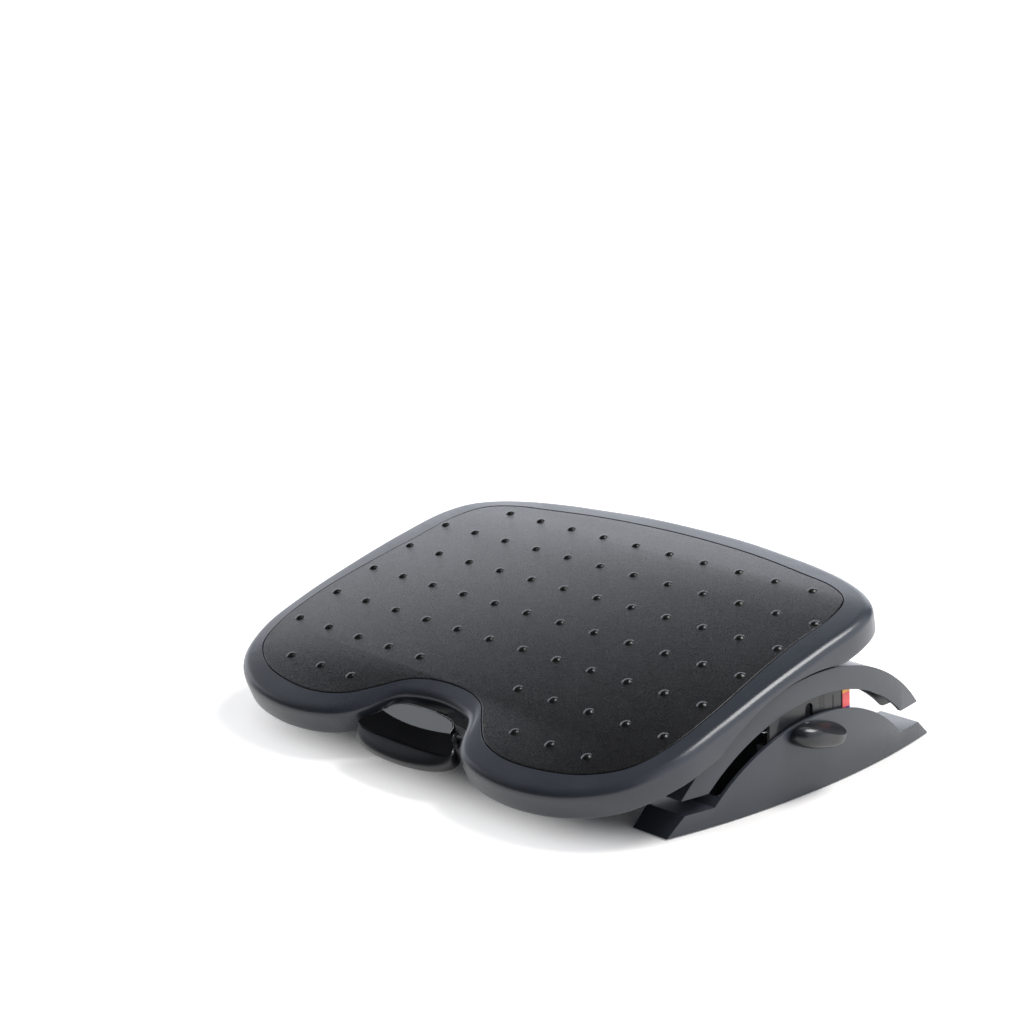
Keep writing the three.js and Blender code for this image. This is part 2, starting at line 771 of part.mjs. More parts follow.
// Flat plate with a round top that follows the arch, rounded foot corners and the bolt's slot
function scalePlate() {
  const foot = plateFootHeight - archCentreHeight;
  const topRadius = flangeRadius - plateTopGap;
  const nearTurn = Math.asin(plateNear / topRadius);
  const farTurn = Math.asin(plateFar / topRadius);
  const shape = new THREE.Shape();
  shape.moveTo(plateNear, foot + plateCorner);
  shape.absarc(0, 0, topRadius, quarterTurn - nearTurn, quarterTurn - farTurn, true);
  shape.lineTo(plateFar, foot + plateCorner);
  shape.quadraticCurveTo(plateFar, foot, plateFar - plateCorner, foot);
  shape.lineTo(plateNear + plateCorner, foot);
  shape.quadraticCurveTo(plateNear, foot, plateNear, foot + plateCorner);
  const slot = new THREE.Path();
  const top = slotTopHeight - archCentreHeight - boltHole;
  const low = slotFootHeight - archCentreHeight + boltHole;
  slot.absarc(boltAxisY, top, boltHole, 0, Math.PI, false);
  slot.absarc(boltAxisY, low, boltHole, Math.PI, 2 * Math.PI, false);
  shape.holes.push(slot);
  const holes = plateScrewPlaces().map(([y, z]) =>
    rodX(screwRadius + seatGap, plateBack - overrun, sideOuter, y, z, smallRoundSteps),
  );
  return slabX(shape, plateBack, plateFace, smallRoundSteps).subtract(join(...holes));
}

function colourTag() {
  const foot = tagFootHeight - archCentreHeight;
  const top = tagTopHeight - archCentreHeight;
  const x = [plateFace + seatGap, plateFace + seatGap + tagThickness];
  return block(x, [plateFar - tagWidth, plateFar], [foot, top]);
}

// Carriage bolt: round head behind the plate, shank out through the foot's wall into the knob
function clampBolt() {
  const head = plateBack - seatGap;
  const profile = [
    new THREE.Vector2(0, -boltHeadThickness),
    new THREE.Vector2(boltHeadRadius / 2, -boltHeadThickness),
    new THREE.Vector2(boltHeadRadius, -boltHeadThickness / 3),
    new THREE.Vector2(boltHeadRadius, 0),
    new THREE.Vector2(boltRadius, 0),
    new THREE.Vector2(boltRadius, boltLength),
    new THREE.Vector2(0, boltLength),
  ];
  const geometry = new THREE.LatheGeometry(profile, roundSteps);
  return solid(geometry.rotateZ(-quarterTurn).translate(head, boltAxisY, boltAxisHeight));
}

// Oval knob: a revolved dome stretched along its grip, with a sloped thumb face and a blind bore
const knobProfileShares = [
  [0, 0], [0.92, 0], [1, 0.1], [0.98, 0.35], [0.89, 0.62],
  [0.75, 0.84], [0.56, 0.96], [0.32, 1], [0, 1],
];
const knobSeat = sideOuter + runningGap;

function knobGrip() {
  const profile = knobProfileShares.map(
    ([radius, height]) => new THREE.Vector2((radius * knobHeight) / 2, height * knobDepth),
  );
  const dome = new THREE.LatheGeometry(profile, knobSides);
  dome.scale(knobLength / knobHeight, 1, 1);
  const grip = solid(dome.rotateZ(-quarterTurn));
  const face = new THREE.BoxGeometry(knobLength * 2, knobLength * 2, knobDepth);
  face.translate(0, 0, knobFaceReach + knobDepth / 2).lookAt(new THREE.Vector3(...knobFaceShares));
  const bore = rodX(knobBoreRadius + seatGap, -overrun, knobBoreDepth, 0, 0);
  const cutGrip = geometryOf(grip.subtract(solid(face)).subtract(bore));
  return cutGrip.rotateX(toRadians(knobRestTurn)).translate(knobSeat, boltAxisY, boltAxisHeight);
}

function knobInsert() {
  const outer = rodX(knobBoreRadius, 0, knobDepth / 2, 0, 0);
  const ring = outer.subtract(rodX(boltRadius + seatGap, -overrun, knobDepth, 0, 0));
  return geometryOf(ring).translate(knobSeat, boltAxisY, boltAxisHeight);
}

// Strip on top of the arch that the deck slides on
function glideLiner() {
  const inner = archRadius + linerGap;
  const shape = sectorShape(inner, inner + linerThickness, -linerSpread, linerSpread);
  const linerEnd = archRadius * Math.sin(toRadians(linerSpread));
  const outboard = sideOuter - archWall - linerEnd ** 2 / sideBowRadius;
  return slabX(shape, archInner + archWall, outboard, sectorSteps + cornerSteps);
}

// Hook under the arch's flange, screwed up into the deck
function keeper(y) {
  const angle = Math.sign(y) * keeperAngle;
  const hookTop = flangeRadius - runningGap;
  const hookFoot = hookTop - keeperThickness;
  const pad = [keeperBossFoot - seatGap - keeperThickness, keeperBossFoot - seatGap];
  const outboard = archInner - runningGap * 2;
  const hook = slabX(
    sectorShape(hookFoot, hookTop, angle - keeperSpread / 2, angle + keeperSpread / 2),
    keeperPadOuter,
    outboard,
    cornerSteps / 2,
  );
  const footHeight = hookFoot * Math.cos(toRadians(keeperAngle)) - keeperThickness / 2;
  const along = [y - keeperHalf, y + keeperHalf];
  const legOuter = keeperPadOuter + keeperThickness;
  const leg = block([keeperPadOuter, legOuter], along, [footHeight, pad[1]]);
  const lug = block([keeperPadOuter - keeperPadLength, legOuter], along, pad);
  const hole = boreZ(screwRadius + seatGap, keeperScrewX, y, pad[0] - overrun, pad[1] + overrun);
  return join(hook, leg, lug).subtract(hole);
}

function keeperScrew(y) {
  const profile = [
    new THREE.Vector2(0, 0),
    new THREE.Vector2(screwHeadRadius, 0),
    new THREE.Vector2(screwHeadRadius, screwHeadHeight),
    new THREE.Vector2(screwRadius, screwHeadHeight),
    new THREE.Vector2(screwRadius, screwLength),
    new THREE.Vector2(0, screwLength),
  ];
  const geometry = new THREE.LatheGeometry(profile, smallRoundSteps).rotateX(quarterTurn);
  const head = keeperBossFoot - seatGap * 2 - keeperThickness - screwHeadHeight;
  return solid(geometry.translate(keeperScrewX, y, head));
}

// Plan of the pedal: bowed back, sides that flare, and a front that the apron bows further out
function pedalShape(grow, apron = 0) {
  const back = pedalBack + Math.min(grow, 0);
  const front = pedalFront - grow - apron;
  const backHalf = pedalBackHalf + grow;
  const half = pedalFrontHalf + grow;
  const corner = pedalCorner / 3;
  const waist = backHalf + pedalCorner / 2;
  const flare = pedalSide / 2;
  const shape = new THREE.Shape();
  shape.moveTo(0, front);
  shape.bezierCurveTo(half / 2, front, half, front + apron / 2, half, pedalSide);
  shape.bezierCurveTo(half, flare, waist, flare, backHalf, -corner);
  shape.bezierCurveTo(backHalf - corner, back, backHalf / 2, back, 0, back);
  shape.bezierCurveTo(-backHalf / 2, back, corner - backHalf, back, -backHalf, -corner);
  shape.bezierCurveTo(-waist, flare, -half, flare, -half, pedalSide);
  shape.bezierCurveTo(-half, front + apron / 2, -half / 2, front, 0, front);
  return shape;
}

function pedalRing(grow, z, apron = 0) {
  const points = pedalShape(grow, apron).getPoints(cornerSteps);
  if (points[0].distanceTo(points.at(-1)) < weldDistance) points.pop();
  return points.map((point) => new THREE.Vector3(point.x, point.y, z));
}

// Side view of the glossy top: raised dished block at the back, slope to the front lip
function pedalTopShape() {
  const shape = new THREE.Shape();
  const foot = pedalLipHeight + seatGap;
  shape.moveTo(pedalFront - overrun, foot - overrun);
  shape.lineTo(pedalFront - overrun, foot);
  shape.lineTo(pedalFront, foot);
  shape.quadraticCurveTo(pedalFront, foot + pedalDish, pedalFront + pedalDish, foot + pedalDish);
  shape.lineTo(pedalRidgePlace - pedalDish, pedalRidgeHeight - pedalDish / 2);
  shape.quadraticCurveTo(pedalRidgePlace, pedalRidgeHeight, pedalRidgePlace + pedalDish, pedalRidgeHeight);
  const middle = (pedalRidgePlace + pedalBack) / 2;
  shape.quadraticCurveTo(middle, pedalRidgeHeight - pedalDish, pedalBack - pedalDish, pedalTopHeight);
  shape.lineTo(pedalBack + overrun, pedalTopHeight);
  shape.lineTo(pedalBack + overrun, foot - overrun);
  return shape;
}

function pedalCover() {
  const foot = pedalLipHeight + seatGap;
  const body = loft([pedalRing(-pedalDish, pedalTopHeight + overrun), pedalRing(0, foot)]);
  return body.intersect(slabX(pedalTopShape(), -halfWidth, halfWidth, smallRoundSteps));
}

function pedalTray() {
  const middle = (pedalLipHeight + pedalFootHeight) / 2;
  const outer = loft([
    pedalRing(0, pedalLipHeight),
    pedalRing(pedalFlare, middle, pedalApron),
    pedalRing(pedalFlare, pedalFootHeight + pedalWall, pedalApron),
    pedalRing(pedalFlare - pedalWall / 2, pedalFootHeight, pedalApron - pedalWall / 2),
  ]);
  const hollow = loft([
    pedalRing(-pedalWall, pedalLipHeight - pedalWall),
    pedalRing(pedalFlare - pedalWall, middle, pedalApron - pedalWall),
    pedalRing(pedalFlare - pedalWall, pedalFootHeight - overrun, pedalApron - pedalWall),
  ]);
  const lever = slabX(leverShape(), -leverThickness, 0, smallRoundSteps);
  const pin = rodX(pinRadius, -leverThickness / 2, pinLength, 0, -leverLength, smallRoundSteps);
  const reach = pedalFrontHalf + overrun;
  const linkRoom = block(
    [-shaftHubRadius, shaftHubRadius],
    [0, pedalBack + overrun],
    [pedalFootHeight - overrun, -leverLength + linkHeight],
  );
  const ears = [-1, 1].map((side) => {
    const ends = [side * (pedalBackHalf - pedalWall), side * (pedalBackHalf + pedalFlare)];
    ends.sort((a, b) => a - b);
    return rodX(axleRadius + pedalWall, ends[0], ends[1], 0, 0);
  });
  const springEnd = springPlaceX + springTurns * springPitch;
  const springRoom = block(
    [springPlaceX - springPitch, springEnd + springPitch],
    [-springCoilRadius - springPitch, springCoilRadius + springPitch],
    [-pedalLipHeight, pedalLipHeight + overrun],
  );
  return join(outer.subtract(hollow), join(...ears).intersect(outer))
    .subtract(springRoom)
    .subtract(linkRoom)
    .add(join(lever, pin))
    .subtract(rodX(axleRadius + seatGap, -reach, reach, 0, 0));
}

// The lever under the pedal's axle, from the tray's roof down to its pin
function leverShape() {
  const top = pedalLipHeight - pedalWall / 2;
  const shape = new THREE.Shape();
  shape.moveTo(-leverLength, top);
  shape.lineTo(-pinRadius * 2, -leverLength);
  shape.absarc(0, -leverLength, pinRadius * 2, Math.PI, 2 * Math.PI, false);
  shape.lineTo(leverLength, top);
  return shape;
}

// Wound wire of the return spring
class Helix extends THREE.Curve {
  getPoint(share) {
    const turn = share * springTurns * 2 * Math.PI;
    const x = springPlaceX + share * springTurns * springPitch;
    return new THREE.Vector3(x, springCoilRadius * Math.cos(turn), springCoilRadius * Math.sin(turn));
  }
}

function returnSpring() {
  const wire = new THREE.Shape();
  wire.absarc(0, 0, springWireRadius, 0, 2 * Math.PI, false);
  return solid(
    new THREE.ExtrudeGeometry(wire, {
      steps: springTurns * springStepsPerTurn,
      curveSegments: 3,
      extrudePath: new Helix(),
    }),
  );
}

// Flat strip that joins the lever's pin to the crank's pin
function releaseLink() {
  const length = Math.hypot(crankPin.y - leverPin.y, crankPin.z - leverPin.z);
  const half = linkHeight / 2;
  const shape = new THREE.Shape();
  shape.absarc(0, 0, half, quarterTurn, -quarterTurn, false);
  shape.absarc(length, 0, half, -quarterTurn, quarterTurn, false);
  const holes = [0, length].map((y) => rodX(pinRadius + pinPlay, -overrun, overrun, y, 0, smallRoundSteps));
  return slabX(shape, seatGap, seatGap + linkThickness, smallRoundSteps).subtract(join(...holes));
}

function brakeCrank() {
  const hub = rodX(shaftHubRadius, -leverThickness, 0, 0, 0);
  const shape = new THREE.Shape();
  shape.moveTo(-shaftHubRadius, 0);
  shape.lineTo(shaftHubRadius, 0);
  shape.lineTo(pinRadius * 2, crankLength);
  shape.absarc(0, crankLength, pinRadius * 2, 0, Math.PI, false);
  const arm = slabX(shape, -leverThickness, 0, smallRoundSteps);
  const pin = rodX(pinRadius, -leverThickness / 2, pinLength, 0, crankLength, smallRoundSteps);
  return join(hub, arm, pin).subtract(rodX(shaftRadius + seatGap, -overrun, overrun, 0, 0));
}

// Arm from the shaft to under the arch's flange, with its shoe on top
const armInner = flangeInner + runningGap;
const shoeTop = flangeRadius - runningGap;
const armTop = shoeTop - shoeThickness - seatGap;

function brakeArm() {
  const hub = rodX(shaftHubRadius, armInner, armInner + armThickness, shaft.y, shaft.z);
  const bar = slabX(
    sectorShape(armTop - armHeight, armTop, shaftPlaceAngle, shoeTo),
    armInner,
    armInner + armThickness,
    sectorSteps,
  );
  return join(hub, bar).subtract(rodX(shaftRadius + seatGap, 0, sideOuter, shaft.y, shaft.z));
}

function brakeShoe() {
  const shape = sectorShape(shoeTop - shoeThickness, shoeTop, shoeFrom, shoeTo);
  return slabX(shape, armInner, armInner + armThickness, cornerSteps);
}

// Placing the pieces
const footrest = new THREE.Group();
const base = new THREE.Group();
const carriage = new THREE.Group();
const platform = new THREE.Group();
const pedal = new THREE.Group();
const link = new THREE.Group();
const brake = new THREE.Group();
const crank = new THREE.Group();
footrest.add(base, carriage, platform);
platform.add(pedal, link, brake);
brake.add(crank);
carriage.position.z = archCentreHeight;
platform.position.z = archCentreHeight;
platform.rotation.x = toRadians(deckRestTilt);
pedal.position.copy(axle);
pedal.rotation.x = axleTurn;
link.position.copy(leverPin);
link.rotation.x = Math.atan2(crankPin.z - leverPin.z, crankPin.y - leverPin.y);
crank.position.copy(shaft);
crank.rotation.x = axleTurn;

function place(group, name, shape, material) {
  const geometry = shape.isBufferGeometry ? shape : geometryOf(shape);
  const mesh = new THREE.Mesh(geometry, material.clone());
  mesh.name = name;
  group.add(mesh);
  return mesh;
}

// The right piece as it is, and the left one mirrored
function placePair(group, name, shape, material) {
  const geometry = shape.isBufferGeometry ? shape : geometryOf(shape);
  place(group, "right_" + name, geometry, material);
  place(group, "left_" + name, geometry, material).scale.x = -1;
}

placePair(base, "foot", footShell(), materials.shell);
const padTop = padRecess + footClearance - seatGap;
placePair(base, "front_pad", padBlock(-padPlaceY, 0, padTop), materials.rubber);
placePair(base, "rear_pad", padBlock(padPlaceY, 0, padTop), materials.rubber);
place(base, "cross_beam", crossBeam(), materials.shell);
beamScrewPlaces().forEach((y, i) => {
  const headX = footInner + footWall + seatGap + screwHeadHeight;
  placePair(base, "beam_screw_" + (i + 1), screwX(headX, y, beamScrewHeight, -1), materials.steel);
});
placePair(base, "clamp_bolt", clampBolt(), materials.steel);
placePair(base, "knob", knobGrip(), materials.knob);
placePair(base, "knob_insert", knobInsert(), materials.brass);

placePair(carriage, "arch", archRail(), materials.shell);
placePair(carriage, "scale_plate", scalePlate(), materials.plate);
placePair(carriage, "colour_tag", colourTag(), materials.tag);
plateScrewPlaces().forEach(([y, z], i) => {
  const headX = plateBack - seatGap - screwHeadHeight;
  const screw = screwX(headX, y, z, 1, screwLength - plateThickness);
  placePair(carriage, "plate_screw_" + (i + 1), screw, materials.steel);
});
const tubeReach = archInner - seatGap;
const tubeBore = rodX(tubeBoreRadius, -archInner, archInner, tube.y, tube.z);
const tubeBody = rodX(tubeRadius, -tubeReach, tubeReach, tube.y, tube.z).subtract(tubeBore);
place(carriage, "cross_tube", tubeBody, materials.steel);
const tubeScrewHead = archInner + archWall + seatGap + screwHeadHeight;
placePair(carriage, "tube_screw", screwX(tubeScrewHead, tube.y, tube.z, -1), materials.steel);

place(platform, "deck_shell", deckShell(), materials.shell);
place(platform, "mat", matPad(), materials.mat);
placePair(platform, "glide_liner", glideLiner(), materials.glide);
placePair(platform, "front_keeper", keeper(-keeperPlaceY), materials.plate);
placePair(platform, "rear_keeper", keeper(keeperPlaceY), materials.plate);
placePair(platform, "front_keeper_screw", keeperScrew(-keeperPlaceY), materials.steel);
placePair(platform, "rear_keeper_screw", keeperScrew(keeperPlaceY), materials.steel);
const axleBody = rodX(axleRadius, -axleHalfLength, axleHalfLength, axle.y, axle.z);
place(platform, "pedal_axle", axleBody, materials.steel);
place(pedal, "pedal_spring", returnSpring(), materials.steel);
place(pedal, "pedal_cover", pedalCover(), materials.gloss);
place(pedal, "pedal_tray", pedalTray(), materials.plate);
place(link, "release_link", releaseLink(), materials.steel);
place(crank, "brake_crank", brakeCrank(), materials.plate);
const shaftReach = archInner - runningGap;
place(brake, "brake_shaft", rodX(shaftRadius, -shaftReach, shaftReach, shaft.y, shaft.z), materials.steel);
placePair(brake, "brake_arm", brakeArm(), materials.plate);
placePair(brake, "brake_shoe", brakeShoe(), materials.rubber);

// Standing in the middle of its own footprint
const extent = new THREE.Box3().setFromObject(footrest, true);
footrest.position.y = -extent.getCenter(new THREE.Vector3()).y;

export default footrest;
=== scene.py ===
# %% [markdown]
# # A tilting under-desk footrest
# The footrest has a contoured deck with a studded mat, two arched rails that carry it, and two low feet.
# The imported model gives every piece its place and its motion. This script gives each piece its finished
# shape and surface, and leaves the places alone.

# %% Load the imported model
import math
import bmesh
import bpy
from mathutils import Matrix, Vector


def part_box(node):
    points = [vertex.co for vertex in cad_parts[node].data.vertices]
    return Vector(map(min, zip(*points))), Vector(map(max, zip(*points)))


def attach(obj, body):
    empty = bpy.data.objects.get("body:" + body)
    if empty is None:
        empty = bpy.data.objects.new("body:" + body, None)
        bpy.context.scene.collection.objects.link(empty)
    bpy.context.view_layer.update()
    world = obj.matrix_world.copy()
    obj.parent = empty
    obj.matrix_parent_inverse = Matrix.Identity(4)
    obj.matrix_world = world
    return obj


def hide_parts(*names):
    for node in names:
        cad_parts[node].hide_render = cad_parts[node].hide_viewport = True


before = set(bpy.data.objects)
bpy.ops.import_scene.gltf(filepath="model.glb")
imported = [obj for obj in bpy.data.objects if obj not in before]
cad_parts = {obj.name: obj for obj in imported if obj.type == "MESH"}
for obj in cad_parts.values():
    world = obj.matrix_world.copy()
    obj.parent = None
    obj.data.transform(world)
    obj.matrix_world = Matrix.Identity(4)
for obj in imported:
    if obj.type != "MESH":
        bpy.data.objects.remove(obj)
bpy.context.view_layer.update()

# %% [markdown]
# ## The camera
# The view was worked out from the object's own symmetry: the lens looks at it from the right and the front,
# a little above the deck, with a slight roll. Building the camera's axes by hand keeps that roll exact.

# %% Place the camera
def in_scene(name, data):
    """A new object in the scene."""
    made = bpy.data.objects.new(name, data)
    bpy.context.scene.collection.objects.link(made)
    return made


camera_data = bpy.data.cameras.new("camera")
camera_data.sensor_width = 36
camera_data.lens = 91.406
camera = in_scene("camera", camera_data)
bpy.context.scene.camera = camera

azimuth, elevation, roll = (math.radians(angle) for angle in (48.2916, 15.465, -2.3495))
level_right = Vector((math.cos(azimuth), math.sin(azimuth), 0))
back = Vector((
    math.sin(azimuth) * math.cos(elevation),
    -math.cos(azimuth) * math.cos(elevation),
    math.sin(elevation),
))
level_up = back.cross(level_right)
camera_right = level_right * math.cos(roll) + level_up * math.sin(roll)
camera_up = level_up * math.cos(roll) - level_right * math.sin(roll)
camera_place = Matrix((camera_right, camera_up, back)).transposed().to_4x4()
camera_place.translation = (1.5066, -1.38997, 0.7553)
camera.matrix_world = camera_place
print("camera at", [round(c, 3) for c in camera_place.translation])

# %% [markdown]
# ## Frames of reference
# Each group of pieces is drawn in millimetres about its own centre, as on a maker's drawing, and then put in
# place by one matrix. The deck tilts about an axis below the floor, at the centre of the arches.

# %% Matrices that put the drawings in place
foot_low, foot_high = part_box("right_foot")
SHIFT_Y = (foot_low.y + foot_high.y) / 2
MILLIMETRE = Matrix.Scale(0.001, 4)
BASE = Matrix.Translation((0, SHIFT_Y, 0)) @ MILLIMETRE
ARCHES = Matrix.Translation((0, SHIFT_Y, -0.08)) @ MILLIMETRE
REST_TILT = math.radians(15.24)
DECK = Matrix.Translation((0, SHIFT_Y, -0.08)) @ Matrix.Rotation(REST_TILT, 4, "X") @ MILLIMETRE
MIRROR = Matrix.Scale(-1, 4, (1, 0, 0))
UPRIGHT = Matrix.Rotation(-math.pi / 2, 4, "Y")

CROWN_RADIUS = 1461
DECK_RISE = 188.5
DECK_SHIFT = -4


def deck_point(x, along, depth):
    """A point of the deck: across, along its crowned surface, and below it."""
    turn = along / CROWN_RADIUS
    radius = CROWN_RADIUS - depth
    return Vector((
        x,
        DECK_SHIFT + radius * math.sin(turn),
        DECK_RISE - CROWN_RADIUS + radius * math.cos(turn),
    ))


AXLE_ALONG = -143.981
AXLE_TURN = -AXLE_ALONG / CROWN_RADIUS
axle = deck_point(0, AXLE_ALONG, 15)
lever_pin = deck_point(0, AXLE_ALONG, 22)
SHAFT_TURN = math.radians(-14)
shaft = Vector((0, 161 * math.sin(SHAFT_TURN), 161 * math.cos(SHAFT_TURN)))
crank_pin = shaft + Vector((0, -14 * math.sin(AXLE_TURN), 14 * math.cos(AXLE_TURN)))
PEDAL = DECK @ Matrix.Translation(axle) @ Matrix.Rotation(AXLE_TURN, 4, "X")
CRANK = DECK @ Matrix.Translation(shaft) @ Matrix.Rotation(AXLE_TURN, 4, "X")
link_run = crank_pin - lever_pin
LINK = DECK @ Matrix.Translation(lever_pin) @ Matrix.Rotation(math.atan2(link_run.z, link_run.y), 4, "X")
print("feet stand", round(SHIFT_Y * 1000, 2), "mm from the middle")

# %% [markdown]
# ## Writing materials as arithmetic
# A procedural material is a small sum of patterns. Wiring nodes by hand hides that sum, so one class wraps a
# socket and lets Python's operators add the Math nodes, with | for the larger of two numbers. A second class
# holds a node tree and adds every other node through one method, and a third makes a material of it.

# %% Classes for materials
def math_node(operation):
    """A Python operator that adds one Math node."""
    def operator(self, *other):
        return self.finish.node("Math", {"operation": operation}, dict(enumerate((self, *other))))
    return operator


class Pattern:
    """A number that changes over the surface, ready to stand in a Python expression."""

    def __init__(self, finish, socket):
        self.finish = finish
        self.socket = socket

    __add__ = __radd__ = math_node("ADD")
    __sub__ = math_node("SUBTRACT")
    __mul__ = math_node("MULTIPLY")
    __lt__ = math_node("LESS_THAN")
    __gt__ = math_node("GREATER_THAN")
    __or__ = math_node("MAXIMUM")
    __abs__ = math_node("ABSOLUTE")

    def __rsub__(self, other):
        return self * -1 + other

    def ramp(self, start, end, low=0.0, high=1.0):
        """Runs smoothly from low, where the pattern is at start, to high at end."""
        settings = {"interpolation_type": "SMOOTHSTEP"}
        return self.finish.node("MapRange", settings, {0: self, 1: start, 2: end, 3: low, 4: high})


class Wiring:
    """A node tree with its shader, and one method that adds any node to it."""

    def __init__(self, owner, shader):
        owner.use_nodes = True
        self.tree = owner.node_tree
        self.shader = self.tree.nodes[shader]

    def node(self, kind, settings=None, values=None, output=0):
        made = self.tree.nodes.new("ShaderNode" + kind)
        for name, value in (settings or {}).items():
            setattr(made, name, value)
        for name, value in (values or {}).items():
            if isinstance(value, Pattern):
                self.tree.links.new(value.socket, made.inputs[name])
            else:
                made.inputs[name].default_value = value
        return Pattern(self, made.outputs[output])

    def ray(self, kind):
        """1 for rays of the kind, such as Camera, and 0 for others."""
        return self.node("LightPath", output=f"Is {kind} Ray")

    def mix(self, share, first, second):
        """A colour between two others."""
        return self.node("Mix", {"data_type": "RGBA"}, {0: share, 6: first, 7: second}, output=2)

    def feed(self, socket, value):
        """Lets a pattern drive a socket of the shader."""
        self.tree.links.new(value.socket, self.shader.inputs[socket])


class Finish(Wiring):
    """One material: constants go straight onto the shader, patterns through nodes."""

    def __init__(self, name, **constants):
        self.material = bpy.data.materials.new(name)
        super().__init__(self.material, "Principled BSDF")
        for socket, value in constants.items():
            self.shader.inputs[socket.replace("_", " ")].default_value = value
        self.position = self.node("TexCoord", output="Object")

    def noise(self, grain, detail=2.0, stretch=(1, 1, 1)):
        """Soft noise whose features are about grain metres wide."""
        place = self.node("Mapping", {}, {"Vector": self.position, "Scale": stretch})
        return self.node("TexNoise", {}, {"Vector": place, "Scale": 1 / grain, "Detail": detail})

    def cells(self, grain):
        """Distance to the edges of cells about grain metres wide, as a share of the cell."""
        values = {"Vector": self.position, "Scale": 1 / grain}
        return self.node("TexVoronoi", {"feature": "DISTANCE_TO_EDGE"}, values)

    def axis(self, name):
        """Height along one axis of the object, in millimetres."""
        return self.node("SeparateXYZ", {}, {0: self.position}, output=name) * 1000

    def tones(self, share, first, second):
        """Colours the surface between two screen colours."""
        self.feed("Base Color", self.mix(share, paint(*first), paint(*second)))

    def roughness(self, value):
        self.feed("Roughness", value)

    def bump(self, height, depth):
        """Raises the surface by up to depth metres where height is 1."""
        values = {"Strength": 1.0, "Distance": depth, "Height": height}
        self.feed("Normal", self.node("Bump", {}, values, output="Normal"))


def plain_finish(name, tone_noise, first, second, low, spread, grain_noise, depth, **constants):
    """A material whose tone and roughness wander together, under a fine grain."""
    made = Finish(name, **constants)
    tone = made.noise(*tone_noise)
    made.tones(tone, first, second)
    made.roughness(low + tone * spread)
    made.bump(made.noise(*grain_noise), depth)
    return made


def paint(red, green, blue):
    """A colour as it looks on screen, from 0 to 255, turned into the linear values a shader wants."""
    shares = (channel / 255 for channel in (red, green, blue))
    linear = [share / 12.92 if share <= 0.04045 else ((share + 0.055) / 1.055) ** 2.4 for share in shares]
    return (*linear, 1.0)


# %% [markdown]
# ## Moulded plastic of the deck, arches and feet
# Injection-moulded parts like these come out of a spark-eroded mould, which leaves a very fine even grain.
# The grain is far below a pixel from here, so it only softens the highlights. A slow change of tone and
# gloss keeps the plastic from looking like paint.

# %% Shell plastic
shell_finish = Finish("shell_plastic")
spark_grain = shell_finish.noise(0.00045, 3.0)
slow_tone = shell_finish.noise(0.09)
shell_finish.tones(slow_tone.ramp(0.35, 0.65), (49, 53, 60), (54, 58, 65))
shell_finish.roughness(0.24 + slow_tone.ramp(0.3, 0.7) * 0.05 + spark_grain * 0.06)
shell_finish.bump(spark_grain, 0.00001)

# %% [markdown]
# ## The mat
# The mat is moulded rubber with a fine leather-like grain: small raised cells with thin valleys between
# them. A cell pattern measured by the distance to its edges makes those valleys, and noise breaks up their
# regularity.

# %% Mat rubber
mat_finish = Finish("mat_rubber", Specular_IOR_Level=0.45)
valleys = mat_finish.cells(0.0011).ramp(0.0, 0.22)
pores = mat_finish.noise(0.0004, 3.0)
worn = mat_finish.noise(0.06, 3.0)
mat_finish.tones(worn.ramp(0.35, 0.7) * 0.6 + valleys * 0.4, (11, 10, 10), (17, 16, 16))
mat_finish.roughness(0.27 - valleys * 0.08 + worn * 0.06)
mat_finish.bump(valleys * 0.7 + pores * 0.3, 0.00004)

# %% [markdown]
# ## Glossy pedal top, knobs and the plain small parts
# The pedal's top is polished black plastic that mirrors the room. The sunk face of its raised block is satin,
# and its light grey colour is a painted reflection of the bright room that this face mirrors. The face is
# found by its plane, which rises gently behind the ridge. The knobs are darker than the feet. The scale
# plates and the hidden brackets are dark satin plastic.

# %% Gloss, knob and plate plastics
RIDGE_Y, RIDGE_Z = -11.2, 9.2
RIDGE_BOW = 4.7 / 41 ** 2
PANEL_RISE = 0.06
gloss_finish = Finish("pedal_gloss", Coat_Roughness=0.03)
haze = gloss_finish.noise(0.02, 3.0)
lean = REST_TILT + AXLE_TURN
across, *from_axle = [
    gloss_finish.axis(name) - 1000 * place for name, place in zip("XYZ", PEDAL.translation)
]
along_cap = from_axle[0] * math.cos(lean) + from_axle[1] * math.sin(lean)
above_cap = from_axle[1] * math.cos(lean) - from_axle[0] * math.sin(lean)
behind_ridge = along_cap - RIDGE_Y - across * across * RIDGE_BOW
off_panel = abs(above_cap - RIDGE_Z - behind_ridge * PANEL_RISE)
# Painted reflection: on the sunk face the gloss black gives way to a light grey that stands in for the bright
# room the face mirrors. The face is also made rougher there.
painted_reflection_panel = (off_panel < 0.15) * (behind_ridge > 0)
gloss_black = gloss_finish.mix(haze.ramp(0.3, 0.7), paint(4, 4, 5), paint(8, 8, 9))
gloss_finish.feed("Base Color", gloss_finish.mix(painted_reflection_panel, gloss_black, paint(104, 106, 107)))
gloss_finish.roughness(0.05 + haze * 0.05 + painted_reflection_panel * 0.3)
gloss_finish.bump(haze, 0.00002)

knob_finish = plain_finish(
    "knob_plastic", (0.02,), (27, 28, 31), (33, 35, 38), 0.22, 0.08, (0.0004,), 0.00002,
)

plate_finish = Finish("plate_plastic")
plate_tone = plate_finish.noise(0.03)
plate_grain = plate_finish.noise(0.0005)
plate_finish.tones(plate_tone, (25, 26, 29), (31, 32, 35))
plate_finish.roughness(0.26 + plate_grain * 0.12)
plate_finish.bump(plate_grain, 0.00003)

# %% [markdown]
# ## Metal, rubber and the slippery liners
# Turned and rolled metal carries fine lines, zinc plating has a faint cloudy sheen, and soft rubber is matt.

